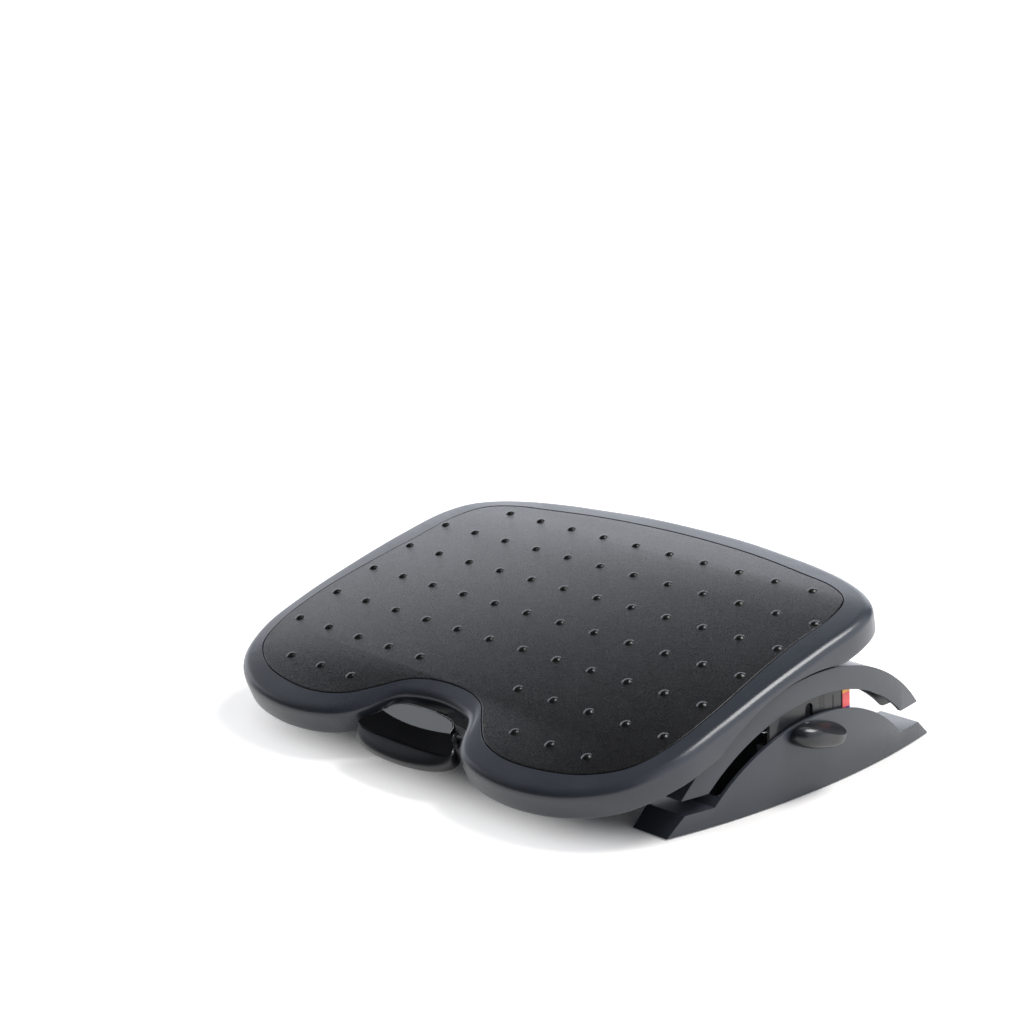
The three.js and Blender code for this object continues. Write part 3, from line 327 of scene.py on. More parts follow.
# %% Steel, brass, rubber and liner
steel_finish = Finish("zinc_steel", Metallic=1.0)
cloud = steel_finish.noise(0.006, 3.0)
drawn = steel_finish.noise(0.0004, 2.0, (0.02, 1, 1))
steel_finish.tones(cloud, (168, 172, 178), (196, 198, 202))
steel_finish.roughness(0.26 + cloud * 0.1 + drawn * 0.08)
steel_finish.bump(drawn, 0.00001)

oxide = (0.004, 3.0)
black_steel = plain_finish(
    "blackened_steel", oxide, (34, 35, 38), (52, 53, 56), 0.4, 0.15, oxide, 0.00001, Metallic=1.0,
)
turning = (0.0003, 2.0, (1, 0.05, 0.05))
brass_finish = plain_finish(
    "turned_brass", turning, (190, 158, 84), (208, 178, 104), 0.25, 0.15, turning, 0.00001, Metallic=1.0,
)

rubber_finish = Finish("pad_rubber")
dust = rubber_finish.noise(0.004, 4.0)
rubber_finish.tones(dust.ramp(0.5, 0.8), (26, 26, 27), (46, 45, 44))
rubber_finish.roughness(0.75 + dust * 0.15)
rubber_finish.bump(rubber_finish.noise(0.0006, 3.0), 0.00006)

liner_finish = plain_finish(
    "liner_plastic", (0.01,), (205, 202, 192), (216, 213, 205), 0.42, 0.1, (0.0005,), 0.00002,
)

# %% [markdown]
# ## The height flag's printed colours
# The flag stands in the feet and shows more of itself as the deck is raised. It is printed in bands, so the
# bands are cut by height. The rest height leaves a thin dark blue band above the foot.

# %% Colour bands
flag_finish = Finish("flag_print")
flag_height = flag_finish.axis("Z")
print_grain = flag_finish.noise(0.0003)
blue_or_coral = flag_finish.mix(flag_height > 57.4, paint(44, 44, 142), paint(238, 98, 98))
flag_finish.feed("Base Color", flag_finish.mix(flag_height > 69.3, blue_or_coral, paint(255, 178, 84)))
flag_finish.roughness(0.4 + print_grain * 0.12)
flag_finish.bump(print_grain, 0.00001)

FINISHES = {
    "shell": shell_finish, "mat": mat_finish, "gloss": gloss_finish, "knob": knob_finish,
    "plate": plate_finish, "steel": steel_finish, "brass": brass_finish, "rubber": rubber_finish,
    "glide": liner_finish, "tag": flag_finish,
}
print("materials:", len(bpy.data.materials))

# %% [markdown]
# ## Helpers for shaping
# Most parts here are mouldings: a drawn outline pushed through to a thickness, edges rounded, rooms and holes
# taken out. These helpers do those four things with mesh operators. Edges are rounded before anything is cut,
# because a bevel works best on a clean form.

# %% Mesh helpers
def points_loop(bm, points):
    """The edges of a closed loop through the points."""
    loop = [bm.verts.new(point) for point in points]
    return [bm.edges.new((loop[i - 1], loop[i])) for i in range(len(loop))]


def everything(bm):
    return [*bm.verts, *bm.edges, *bm.faces]


def skin(rings):
    """A closed skin over rings of points that have the same count.

    No two rings lie in one plane, because the bridge between such rings can cross over itself.
    """
    bm = bmesh.new()
    loops = [points_loop(bm, ring) for ring in rings]
    for upper, lower in zip(loops, loops[1:]):
        bmesh.ops.bridge_loops(bm, edges=upper + lower)
    bmesh.ops.contextual_create(bm, geom=loops[0])
    bmesh.ops.contextual_create(bm, geom=loops[-1])
    bmesh.ops.recalc_face_normals(bm, faces=bm.faces)
    return bm


def slab(outline, start, end):
    """An outline drawn as (y, z), pushed along X from start to end."""
    bm = bmesh.new()
    points_loop(bm, [(start, y, z) for y, z in outline])
    face = bmesh.ops.contextual_create(bm, geom=bm.edges)["faces"]
    pushed = bmesh.ops.extrude_face_region(bm, geom=face)["geom"]
    moved = [v for v in pushed if isinstance(v, bmesh.types.BMVert)]
    bmesh.ops.translate(bm, verts=moved, vec=(end - start, 0, 0))
    bmesh.ops.recalc_face_normals(bm, faces=bm.faces)
    return bm


def block(x, y, z):
    bm = bmesh.new()
    bmesh.ops.create_cube(bm, size=1)
    spans = [pair[1] - pair[0] for pair in (x, y, z)]
    middle = [(pair[1] + pair[0]) / 2 for pair in (x, y, z)]
    bmesh.ops.scale(bm, vec=spans, verts=bm.verts)
    bmesh.ops.translate(bm, vec=middle, verts=bm.verts)
    return bm


def rod(radius, start, end, y=0, z=0, sides=48):
    """A round bar along X."""
    bm = bmesh.new()
    length = end - start
    bmesh.ops.create_cone(bm, cap_ends=True, segments=sides, radius1=radius, radius2=radius, depth=length)
    bmesh.ops.rotate(bm, verts=bm.verts, matrix=Matrix.Rotation(math.pi / 2, 3, "Y"))
    bmesh.ops.translate(bm, verts=bm.verts, vec=((start + end) / 2, y, z))
    return bm


def turned(profile, sides=32):
    """A profile of (along X, radius) points, spun about X."""
    bm = bmesh.new()
    line = [bm.verts.new((along, radius, 0)) for along, radius in profile]
    edges = [bm.edges.new(pair) for pair in zip(line, line[1:])]
    bmesh.ops.spin(
        bm, geom=line + edges, axis=(1, 0, 0), cent=(0, 0, 0), angle=math.tau, steps=sides, use_merge=True,
    )
    bmesh.ops.remove_doubles(bm, verts=bm.verts, dist=0.0005)
    bmesh.ops.recalc_face_normals(bm, faces=bm.faces)
    return bm


def moved(bm, matrix):
    """A copy of the mesh, put in place by a matrix."""
    copy = bm.copy()
    bmesh.ops.transform(copy, matrix=matrix, verts=copy.verts)
    if matrix.determinant() < 0:
        bmesh.ops.reverse_faces(copy, faces=copy.faces)
    return copy


def gathered(*parts):
    """Several meshes as one, each still its own closed body."""
    bm = bmesh.new()
    for part in parts:
        mesh = bpy.data.meshes.new("part")
        part.to_mesh(mesh)
        bm.from_mesh(mesh)
        bpy.data.meshes.remove(mesh)
    return bm


def bevelled(bm, edges, radius, segments):
    bmesh.ops.bevel(
        bm, geom=edges, offset=radius, segments=segments, profile=0.5, affect="EDGES", material=-1,
        clamp_overlap=True,
    )
    return bm


def rounded(bm, radius, segments=3, sharp=28):
    """Rounds every edge where the surface turns by more than sharp degrees."""
    bm.normal_update()
    edges = [e for e in bm.edges if e.is_manifold and e.calc_face_angle() > math.radians(sharp)]
    return bevelled(bm, edges, radius, segments)


def combined(bm, tool, operation):
    """The boolean of two closed meshes, through a modifier on a throwaway object."""
    work = []
    for source in (bm, tool):
        mesh = bpy.data.meshes.new("work")
        source.to_mesh(mesh)
        work.append(in_scene("work", mesh))
    modifier = work[0].modifiers.new("boolean", "BOOLEAN")
    modifier.object = work[1]
    modifier.operation = operation
    modifier.solver = "MANIFOLD"
    result = bpy.data.meshes.new_from_object(work[0].evaluated_get(bpy.context.evaluated_depsgraph_get()))
    made = bmesh.new()
    made.from_mesh(result)
    for spare in (result, *[each.data for each in work]):
        bpy.data.meshes.remove(spare)  # which takes its object along
    return made


def joined(bm, *tools):
    for tool in tools:
        bm = combined(bm, tool, "UNION")
    return bm


def cut(bm, *tools):
    for tool in tools:
        bm = combined(bm, tool, "DIFFERENCE")
    return bm


def within(bm, tool):
    return combined(bm, tool, "INTERSECT")


def bisected(bm, places, axis=(0, 1, 0)):
    """Adds edges where planes square to the axis cross the mesh, so that it can be bent."""
    normal = Vector(axis)
    for place in places:
        middle = normal * place
        bmesh.ops.bisect_plane(bm, geom=everything(bm), dist=0.0001, plane_co=middle, plane_no=normal)
    return bm


def steps(start, end, count):
    """Evenly spaced numbers from start to end."""
    return [start + (end - start) * i / count for i in range(count + 1)]


def arc(radius, start, end, count, y=0, z=0):
    """Points (y, z) round a centre, with angles from +Y towards +Z."""
    return [(y + radius * math.cos(a), z + radius * math.sin(a)) for a in steps(start, end, count)]


def arch(radius, start, end, count, z=0):
    """Points (y, z) over a centre, with angles from +Z towards +Y."""
    return [(radius * math.sin(a), z + radius * math.cos(a)) for a in steps(start, end, count)]


def piece(name, bm, place, body, slot, nodes, smooth=32, finish=None):
    """Turns a drawing into a finished object that rides on its body and stands for its nodes."""
    bmesh.ops.transform(bm, matrix=place, verts=bm.verts)
    if place.determinant() < 0:
        bmesh.ops.reverse_faces(bm, faces=bm.faces)
    mesh = bpy.data.meshes.new(name)
    bm.to_mesh(mesh)
    mesh.shade_smooth()
    mesh.set_sharp_from_angle(angle=math.radians(smooth))
    mesh.materials.append((finish or FINISHES[slot]).material)
    made = in_scene(name, mesh)
    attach(made, body)
    if nodes:
        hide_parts(*nodes)
    print("made", name, len(mesh.polygons), "faces")


def both_sides(name, bm, place, bodies, slot, node, smooth=32, finish=None):
    """A right piece and its mirror image on the left."""
    for side, turn in (("right", Matrix.Identity(4)), ("left", MIRROR)):
        body = bodies if isinstance(bodies, str) else bodies[side]
        nodes = [side + "_" + node] if node else []
        piece(side + "_" + name, bm.copy(), place @ turn, body, slot, nodes, smooth, finish)


# %% [markdown]
# ## The plan outlines
# The deck has two lobes for the feet and a notch for the pedal. Its outline is a smooth curve through a few
# measured points, given as shares of half the width and half the depth. The mat follows it further in.
# A centripetal curve passes through uneven points without loops, so it is the safe choice here.

# %% Outline curves
HALF_WIDTH = 254
HALF_DEPTH = 187
deck_shares = [
    (0, -0.663), (0.0866, -0.674), (0.165, -0.706), (0.197, -0.754), (0.228, -0.824), (0.268, -0.888),
    (0.315, -0.93), (0.425, -0.973), (0.591, -0.981), (0.768, -0.925), (0.909, -0.791), (0.984, -0.578),
    (1, -0.321), (1, 0), (0.998, 0.321), (0.988, 0.578), (0.945, 0.722), (0.866, 0.813),
    (0.748, 0.885), (0.591, 0.941), (0.433, 0.976), (0.236, 1.01), (0, 1.02),
]
mat_shares = [
    (0, -0.564), (0.0945, -0.575), (0.177, -0.618), (0.256, -0.719), (0.335, -0.805), (0.461, -0.853),
    (0.618, -0.845), (0.768, -0.791), (0.874, -0.684), (0.921, -0.508), (0.929, -0.267), (0.909, 0.0535),
    (0.892, 0.321), (0.886, 0.535), (0.843, 0.695), (0.748, 0.773), (0.591, 0.818), (0.335, 0.874),
    (0, 0.898),
]


def curve_point(points, position):
    """A point of the closed centripetal curve through the points, after so many spans."""
    count = len(points)
    span = int(position)
    share = position - span
    before, start, end, after = (points[(span + i - 1) % count] for i in range(4))
    gap_before, gap, gap_after = (
        max((b - a).length, 1e-6) ** 0.5 for a, b in ((before, start), (start, end), (end, after))
    )
    leave = (start - before) / gap_before - (end - before) / (gap_before + gap) + (end - start) / gap
    arrive = (end - start) / gap - (after - start) / (gap + gap_after) + (after - end) / gap_after
    leave, arrive = leave * gap, arrive * gap
    square = (end - start) * 3 - leave * 2 - arrive
    cube = (start - end) * 2 + leave + arrive
    return start + leave * share + square * share ** 2 + cube * share ** 3


def outline(shares, count):
    """The closed outline as evenly spaced points, with the direction that points inwards at each."""
    right = [Vector((x * HALF_WIDTH, y * HALF_DEPTH)) for x, y in shares]
    left = [Vector((-p.x, p.y)) for p in reversed(right[1:-1])]
    points = right + left
    fine = [curve_point(points, i / 24) for i in range(24 * len(points))]
    lengths = [(fine[(i + 1) % len(fine)] - p).length for i, p in enumerate(fine)]
    total = sum(lengths)
    even, travelled, i = [], 0.0, 0
    for step in range(count):
        target = total * step / count
        while travelled + lengths[i] < target:
            travelled += lengths[i]
            i += 1
        along = (target - travelled) / lengths[i]
        even.append(fine[i].lerp(fine[(i + 1) % len(fine)], along))
    tangents = [(even[(i + 1) % count] - even[i - 1]).normalized() for i in range(count)]
    return [(point, Vector((-t.y, t.x))) for point, t in zip(even, tangents)]


OUTLINE_POINTS = 288
deck_outline = outline(deck_shares, OUTLINE_POINTS)
mat_outline = outline(mat_shares, OUTLINE_POINTS)


def ring(line, inset, depth):
    """One ring of a deck piece, drawn flat: in from the outline and down from the surface."""
    return [(p.x + n.x * inset, p.y + n.y * inset, -depth) for p, n in line]


def crowned(bm):
    """Bends a flat drawing over the deck's crown."""
    bisected(bm, range(-207, 208, 9))
    for vertex in bm.verts:
        vertex.co = deck_point(vertex.co.x, vertex.co.y, -vertex.co.z)
    return bm


print("deck outline runs", round(max(p.y for p, n in deck_outline)), "mm far and back")

# %% [markdown]
# ## The deck shell
# The deck is one moulding: a thin plate with a deep rounded rim, a recess for the mat and ribs underneath.
# It is drawn flat as rings of points, from the recess over the band and the round shoulder down to the rim's
# foot and back up inside. The flat form is then bent over the crown, which gives the real gentle dome.

# %% Rim, plate and ribs, drawn flat
RECESS = 3.1
PLATE = 6.6
deck_rings = [ring(mat_outline, -0.9, RECESS), ring(mat_outline, -0.9, 0.35), ring(mat_outline, -1.3, 0.02)]
deck_rings.append(ring(deck_outline, 8.6, 0.92))
for turn in steps(0, math.pi / 2, 8):
    deck_rings.append(ring(deck_outline, 8 * (1 - math.sin(turn)), 1 + 8 * (1 - math.cos(turn))))
for turn in steps(0, math.pi / 2, 5):
    deck_rings.append(ring(deck_outline, 4 * (1 - math.cos(turn)), 22 + 4 * math.sin(turn)))
deck_rings += [ring(deck_outline, 6.6, 26), ring(deck_outline, 7, 25.6), ring(deck_outline, 7, PLATE)]
deck_body = skin(deck_rings)

RIB_HALF = 1.2
RIB_SPAN = (-20, -4.5)
ribs = joined(
    *[block((x - RIB_HALF, x + RIB_HALF), (-HALF_DEPTH, HALF_DEPTH), RIB_SPAN) for x in range(-210, 211, 84)],
    *[block((-HALF_WIDTH, HALF_WIDTH), (y - RIB_HALF, y + RIB_HALF), RIB_SPAN) for y in range(-160, 161, 64)],
)
rib_zone = skin([ring(deck_outline, 3.5, 0), ring(deck_outline, 3.5, 30)])
deck_body = joined(deck_body, within(ribs, rib_zone))
crowned(deck_body)
print("deck plate with ribs:", len(deck_body.faces), "faces")

# %% [markdown]
# The underside also needs room for the arches, which pass through the deck's sides on a circle about the tilt
# axis, and the bosses and lugs that carry the keepers, the pedal's axle and the brake shaft.

# %% Saddles, bosses and bores
def post(radius, x, y, low, high, sides=24):
    """An upright round post."""
    bm = bmesh.new()
    length = high - low
    bmesh.ops.create_cone(bm, cap_ends=True, segments=sides, radius1=radius, radius2=radius, depth=length)
    bmesh.ops.translate(bm, verts=bm.verts, vec=(x, y, (low + high) / 2))
    return bm


def bores(places, start, end, radius=2.2):
    """Bars along X at (y, z) places, by default for screw holes."""
    return [rod(radius, start, end, y, z, sides=24) for y, z in places]


BORE = 4.3
FLANGE_RADIUS = 173
FLANGE_INNER = 214
KEEPER_Y = FLANGE_RADIUS * math.sin(math.radians(20.5))
KEEPER_HALF = math.radians(5.4) * FLANGE_RADIUS / 2
KEEPER_OUTER = FLANGE_INNER - 0.5 - 3.4
KEEPER_X = KEEPER_OUTER - 7.5
BOSS_FOOT = deck_point(0, KEEPER_Y, PLATE + 6).z
keeper_places = [(x, y) for x in (-KEEPER_X, KEEPER_X) for y in (-KEEPER_Y, KEEPER_Y)]
keeper_rooms = []
for x, y in keeper_places:
    across = (x - 8, x + 11.4) if x > 0 else (x - 11.4, x + 8)
    keeper_rooms.append(block(across, (y - KEEPER_HALF - 0.5, y + KEEPER_HALF + 0.5), (0, BOSS_FOOT)))
deck_body = cut(deck_body, *keeper_rooms)
deck_body = joined(deck_body, *[post(4.6, x, y, BOSS_FOOT, DECK_RISE - PLATE) for x, y in keeper_places])
deck_body = joined(deck_body, rod(4.6, 49.5, 60, axle.y, axle.z), rod(4.6, -60, -49.5, axle.y, axle.z))
deck_body = cut(deck_body, rod(178.2, 209.6, 270, sides=240), rod(178.2, -270, -209.6, sides=240))

lug_outline = [
    (shaft.y - 12, DECK_RISE - PLATE), *arc(7, math.pi, math.tau, 16, shaft.y, shaft.z),
    (shaft.y + 12, DECK_RISE - PLATE),
]
deck_body = joined(deck_body, slab(lug_outline, 143.5, 148.5), slab(lug_outline, -148.5, -143.5))

link_way = [
    (lever_pin.y, lever_pin.z - 6), (crank_pin.y + 10, crank_pin.z - 6),
    (crank_pin.y + 10, crank_pin.z + 6), (lever_pin.y, lever_pin.z + 6),
]
deck_body = cut(
    deck_body,
    slab(link_way, -7, 7),
    rod(2.3, -53.3, 53.3, axle.y, axle.z, sides=24),
    rod(BORE, -HALF_WIDTH, HALF_WIDTH, shaft.y, shaft.z, sides=32),
    *[post(2.2, x, y, BOSS_FOOT - 10, DECK_RISE - 4.85) for x, y in keeper_places],
)
piece("deck_moulding", deck_body, DECK, "platform", "shell", ["deck_shell"], smooth=30)

# %% [markdown]
# ## The mat and its studs
# The mat is a sheet with a soft top edge that sits in the recess with a thin groove round it. The studs are
# low domes that stand a little way into the sheet, in a regular grid that leaves out the places beyond the
# outline. One dome is spun from its profile and copied to every place, leaning with the crown.

# %% Mat sheet and studs
mat_rings = [
    ring(mat_outline, 0, 2.8), ring(mat_outline, 0, 0.6), ring(mat_outline, 0.12, 0.25),
    ring(mat_outline, 0.35, 0.06), ring(mat_outline, 0.8, 0),
]
mat_sheet = crowned(skin(mat_rings))

stud_profile = [
    (-0.4, 0), (-0.4, 4.6), (0, 4.3), (0.12, 3.9), (0.5, 3.4), (1, 2.8), (1.38, 1.9), (1.55, 0.9), (1.6, 0),
]
stud = moved(turned(stud_profile, 16), UPRIGHT)
STUD_COLUMNS, STUD_ROWS = 40, 44
row_spans = [(2, 5), (1, 6), (0, 6), (0, 6), (0, 6), (0, 6), (0, 5)]
studs = []
for row, (first, last) in enumerate(row_spans):
    along = (row - 3) * STUD_ROWS
    lean = Matrix.Rotation(-along / CROWN_RADIUS, 4, "X")
    for column in range(first, last):
        for x in ((column + 0.5) * STUD_COLUMNS, -(column + 0.5) * STUD_COLUMNS):
            studs.append(moved(stud, Matrix.Translation(deck_point(x, along, 0)) @ lean))
piece("studded_mat", gathered(mat_sheet, *studs), DECK, "platform", "mat", ["mat"], smooth=40)
print("studs:", len(studs))

# %% [markdown]
# ## The feet
# Each foot is a hollow moulding with a flat inner wall and an outer wall that bows outwards in plan. From the
# side it has a low shelf at each end and a round back. The side view is pushed through to a slab, which is
# bowed and rounded, and then the inside, the channel for the arch and the holes are cut.

# %% Feet
SIDE_OUTER = 252
FOOT_INNER = 200
BOW_RADIUS = 717
FOOT_TOP = 61.8
FOOT_RADIUS = 150
FOOT_CENTRE = FOOT_TOP - FOOT_RADIUS
CLAMP_BOLT = (-5, 48)
BEAM_SCREWS = [(60, 9.5), (84, 9.5)]


def bow(y, inset=0):
    """How far out the bowed wall stands at a place along the foot."""
    return SIDE_OUTER - BOW_RADIUS + math.sqrt((BOW_RADIUS - inset) ** 2 - y ** 2)


def bowed(bm, inset=0):
    """Moves the outer end of a slab onto the bowed wall."""
    bisected(bm, range(-152, 153, 8))
    for vertex in bm.verts:
        if vertex.co.x > SIDE_OUTER - 1:
            vertex.co.x = bow(vertex.co.y, inset)
    return bm


def smoothed(bm):
    """Dissolves the edges that the bow left flat."""
    bmesh.ops.dissolve_limit(bm, angle_limit=math.radians(0.05), verts=bm.verts, edges=bm.edges)


def foot_outline(inset, floor):
    """The foot from the side, cut off level at the floor."""
    radius = FOOT_RADIUS - inset
    shelf = 15.5 - inset
    turn = math.acos((shelf - FOOT_CENTRE) / radius)
    slope = 16.4 / 14.5
    half = 152.5 - inset
    ends = [half - slope * (height - 1) for height in (floor, shelf)]
    over = arch(radius, -turn, turn, 72, FOOT_CENTRE)
    return [(-ends[0], floor), (-ends[1], shelf), *over, (ends[1], shelf), (ends[0], floor)]


foot_hull = bowed(slab(foot_outline(0, 1), FOOT_INNER, SIDE_OUTER))
smoothed(foot_hull)
rounded(foot_hull, 1.1)
foot_rooms = bowed(slab(foot_outline(3, 4), FOOT_INNER + 3, SIDE_OUTER), 3)
foot_channel = bowed(block((FOOT_INNER + 3, SIDE_OUTER), (-102, 102), (-10, 74.5)), 3)
guides = [block((235.7, 247.6), (y, y + 2.4), (4, FOOT_TOP)) for y in (-52.9, 42.5)]
guide_zone = bowed(slab(foot_outline(3, 4), FOOT_INNER + 1, SIDE_OUTER), 1.5)


def pad_block(y, grow, height):
    """The block of a rubber pad, or of the pocket that takes it."""
    middle = (FOOT_INNER + SIDE_OUTER - y ** 2 / BOW_RADIUS / 2) / 2
    return block((middle - 15 - grow, middle + 15 + grow), (y - 12 - grow, y + 12 + grow), (-grow, height))


foot_body = cut(foot_hull, foot_rooms, foot_channel)
foot_body = joined(foot_body, *[within(guide, guide_zone) for guide in guides])
foot_body = cut(
    foot_body,
    pad_block(-128, 0.3, 2.1),
    pad_block(128, 0.3, 2.1),
    rod(BORE, 246.7, 262, *CLAMP_BOLT, sides=32),
    rod(11.5, 190, 210, *CLAMP_BOLT, sides=48),
    *bores(BEAM_SCREWS, 190, 210),
)
both_sides("foot_moulding", foot_body, BASE, "base", "shell", "foot", smooth=30)

for name, y in (("front_pad", -128), ("rear_pad", 128)):
    pad = rounded(pad_block(y, 0, 1.8), 0.5, 2)
    both_sides(name + "_tread", pad, BASE, "base", "rubber", name)

# %% [markdown]
# ## The arches
# An arch is a curved channel: a top skin, an outer wall and an inner wall, open underneath. Its ends are cut
# level. Inside the footrest its top skin runs on as a flange, which the keepers hook under.

# %% Arches
def arch_outline(inner, outer, drop=0):
    """An arch from the side, with its ends cut level at two heights over the tilt axis."""
    near, far = 108 - drop, 113.5 - drop
    over = arch(outer, -math.acos(near / outer), math.acos(far / outer), 72)
    under = arch(inner, math.acos(far / inner), -math.acos(near / inner), 72)
    return over + under


ARCH_INNER = 222
arch_hull = bowed(slab(arch_outline(157, 176), FLANGE_INNER, SIDE_OUTER))
smoothed(arch_hull)
rounded(arch_hull, 1.8)
arch_below = arch_outline(147, FLANGE_RADIUS, 10)
arch_room = bowed(slab(arch_below, ARCH_INNER + 3, SIDE_OUTER), 3)
arch_inboard = slab(arch_below, 200, ARCH_INNER)
screw_height = math.sqrt(163 ** 2 - 30 ** 2)
plate_screws = [(-34, screw_height), (26, screw_height)]
TUBE_TURN = math.radians(22)
tube = (162 * math.sin(TUBE_TURN), 162 * math.cos(TUBE_TURN))
arch_body = cut(arch_hull, arch_room, arch_inboard)
arch_body = joined(arch_body, *bores(plate_screws, 247, 250, 4.6))
arch_body = cut(arch_body, *bores(plate_screws, 243.7, 249), *bores([tube], FLANGE_INNER, ARCH_INNER + 10))
both_sides("arch_rail", arch_body, ARCHES, "carriage", "shell", "arch", smooth=30)

# %% [markdown]
# ## Height scale plates
# A plate hangs from each arch into its foot. The clamp bolt runs in its slot, and fine marks along its face
# show the height. The marks are slivers that stand barely proud of the plate.

# %% Scale plates with marks
PLATE_FACE = 246.7
plate_top = FLANGE_RADIUS - 4
plate_foot = 91
near_turn = math.asin(-50 / plate_top)
far_turn = math.asin(42 / plate_top)
plate_outline = arch(plate_top, near_turn, far_turn, 32)
plate_outline += arc(5, 0, -math.pi / 2, 6, 37, plate_foot + 5)
plate_outline += arc(5, -math.pi / 2, -math.pi, 6, -45, plate_foot + 5)
plate_body = rounded(slab(plate_outline, PLATE_FACE - 3, PLATE_FACE), 0.35, 2)
slot_outline = arc(BORE, 0, math.pi, 16, CLAMP_BOLT[0], 151.5 - BORE)
slot_outline += arc(BORE, math.pi, math.tau, 16, CLAMP_BOLT[0], 94.25 + BORE)
plate_body = cut(plate_body, slab(slot_outline, 240, 250), *bores(plate_screws, 230, SIDE_OUTER))
both_sides("height_plate", plate_body, ARCHES, "carriage", "plate", "scale_plate")

flag = rounded(block((PLATE_FACE + 0.05, PLATE_FACE + 0.7), (33.4, 42), (106, 158)), 0.12, 1)
both_sides("height_flag", flag, ARCHES, "carriage", "tag", "colour_tag")

ink_finish = plain_finish("scale_ink", (0.0008,), (8, 8, 9), (14, 14, 15), 0.5, 0.2, (0.0008,), 0.00001)
INK = (PLATE_FACE - 0.02, PLATE_FACE + 0.05)
tick_places = enumerate(range(-41, 29, 3))
ticks = [block(INK, (y - 0.25, y + 0.25), (138, 140.6 if i % 5 else 142.5)) for i, y in tick_places]
rails = [block(INK, (y - 0.2, y + 0.2), (140, 158)) for y in (7.6, 12.4)]
rungs = [block(INK, (7.85, 12.15), (141.4 + i * 2, 141.8 + i * 2)) for i in range(9)]
pointer = block(INK, (22.3, 23.8), (138, 151))
both_sides("height_marks", gathered(*ticks, *rails, *rungs, pointer), ARCHES, "carriage", "plate", None,
           finish=ink_finish)

# %% [markdown]
# ## Clamp bolts and knobs
# A carriage bolt clamps the plate to the foot's wall, and an oval knob screws onto it. The knob is a spun
# dome stretched along its grip. A sloped cut gives the thumb face, whose rim is rounded, and the bore is open
# to the foot.

# %% Bolts, inserts and knobs
bolt_head = [(-3, 0), (-3, 4), (-2.6, 6.5), (-1.6, 9), (-0.6, 10), (0, 10)]
bolt_shank = [(0, 4), (17.4, 4), (18, 3.4), (18, 0)]
bolt = moved(turned(bolt_head + bolt_shank, 48), Matrix.Translation((243.4, *CLAMP_BOLT)))
both_sides("carriage_bolt", bolt, BASE, "base", "steel", "clamp_bolt")

knob_bodies = {"right": "right_knob", "left": "left_knob"}
KNOB_SEAT = Matrix.Translation((252.5, *CLAMP_BOLT))
insert = moved(cut(rod(5.6, 0, 8.5, sides=40), rod(BORE, -10, 17, sides=40)), KNOB_SEAT)
both_sides("brass_insert", insert, BASE, knob_bodies, "brass", "knob_insert")

knob_shares = [
    (0, 0), (0.9, 0), (0.955, 0.02), (0.985, 0.06), (1, 0.12), (0.995, 0.22), (0.975, 0.35), (0.94, 0.48),
    (0.89, 0.6), (0.82, 0.72), (0.73, 0.82), (0.62, 0.91), (0.48, 0.965), (0.3, 0.99), (0, 1),
]
KNOB_LENGTH, KNOB_HALF, KNOB_DEPTH = 58, 10.5, 17
KNOB_BLUNT = 2.6
knob = turned([(height * KNOB_DEPTH, radius * KNOB_HALF) for radius, height in knob_shares], 72)
for vertex in knob.verts:
    radius = math.hypot(vertex.co.y, vertex.co.z)
    if radius > 0.01:
        vertex.co.yz /= sum(abs(side / radius) ** KNOB_BLUNT for side in vertex.co.yz) ** (1 / KNOB_BLUNT)
bmesh.ops.scale(knob, verts=knob.verts, vec=(1, KNOB_LENGTH / KNOB_HALF / 2, 1))
face_normal = Vector((0.458, 0.099, 0.883)).normalized()
sliced = bmesh.ops.bisect_plane(
    knob, geom=everything(knob), dist=0.0001, plane_co=face_normal * 10.9, plane_no=face_normal,
    clear_outer=True,
)
rim = [edge for edge in sliced["geom_cut"] if isinstance(edge, bmesh.types.BMEdge)]
face = bmesh.ops.contextual_create(knob, geom=rim)["faces"]
bmesh.ops.recalc_face_normals(knob, faces=knob.faces)
bevelled(knob, list(face[0].edges), 0.8, 4)
knob = cut(knob, rod(5.9, -10, 9.6, sides=40))
knob = moved(knob, KNOB_SEAT @ Matrix.Rotation(math.radians(-13.5), 4, "X"))
both_sides("oval_knob", knob, BASE, knob_bodies, "knob", "knob", smooth=40)

# %% [markdown]
# ## Cross pieces
# An open channel beam ties the feet and a steel tube ties the arches.

# %% Beam and tube
beam = rounded(block((-199.7, 199.7), (50, 94), (3.5, 15.5)), 0.9, 3)
beam = cut(beam, block((-194.9, 194.9), (52.4, 91.6), (-6.5, 13.1)))
beam_ribs = [block((x - RIB_HALF, x + RIB_HALF), (51, 93), (5.9, 14)) for x in range(-180, 181, 45)]
beam = joined(beam, block((-199, 199), (70.8, 73.2), (5.9, 14)), *beam_ribs)
beam = cut(beam, *bores(BEAM_SCREWS, -SIDE_OUTER, SIDE_OUTER))
piece("beam_channel", beam, BASE, "base", "shell", ["cross_beam"])

tube_body = cut(rod(5, -221.7, 221.7, *tube, sides=64), rod(2.9, -222, 222, *tube, sides=32))
piece("tie_tube", tube_body, ARCHES, "carriage", "steel", ["cross_tube"])

# %% [markdown]
# ## Screws
# Every screw is a pan head with a cross recess. One is turned and its recess cut with two crossed blocks, and
# copies go to each place.

# %% Screws
def screw(length):
    """A pan head screw along +X with its head at the origin."""
    head = [(0, 0), (0, 1.4), (0.25, 2.5), (0.7, 3.3), (1.3, 3.6), (2.2, 3.6), (2.2, 1.9)]
    body = turned(head + [(length - 1.4, 1.9), (length, 0.7), (length, 0)], 28)
    return cut(body, block((-1, 1.5), (-2, 2), (-0.4, 0.4)), block((-1, 1.5), (-0.4, 0.4), (-2, 2)))


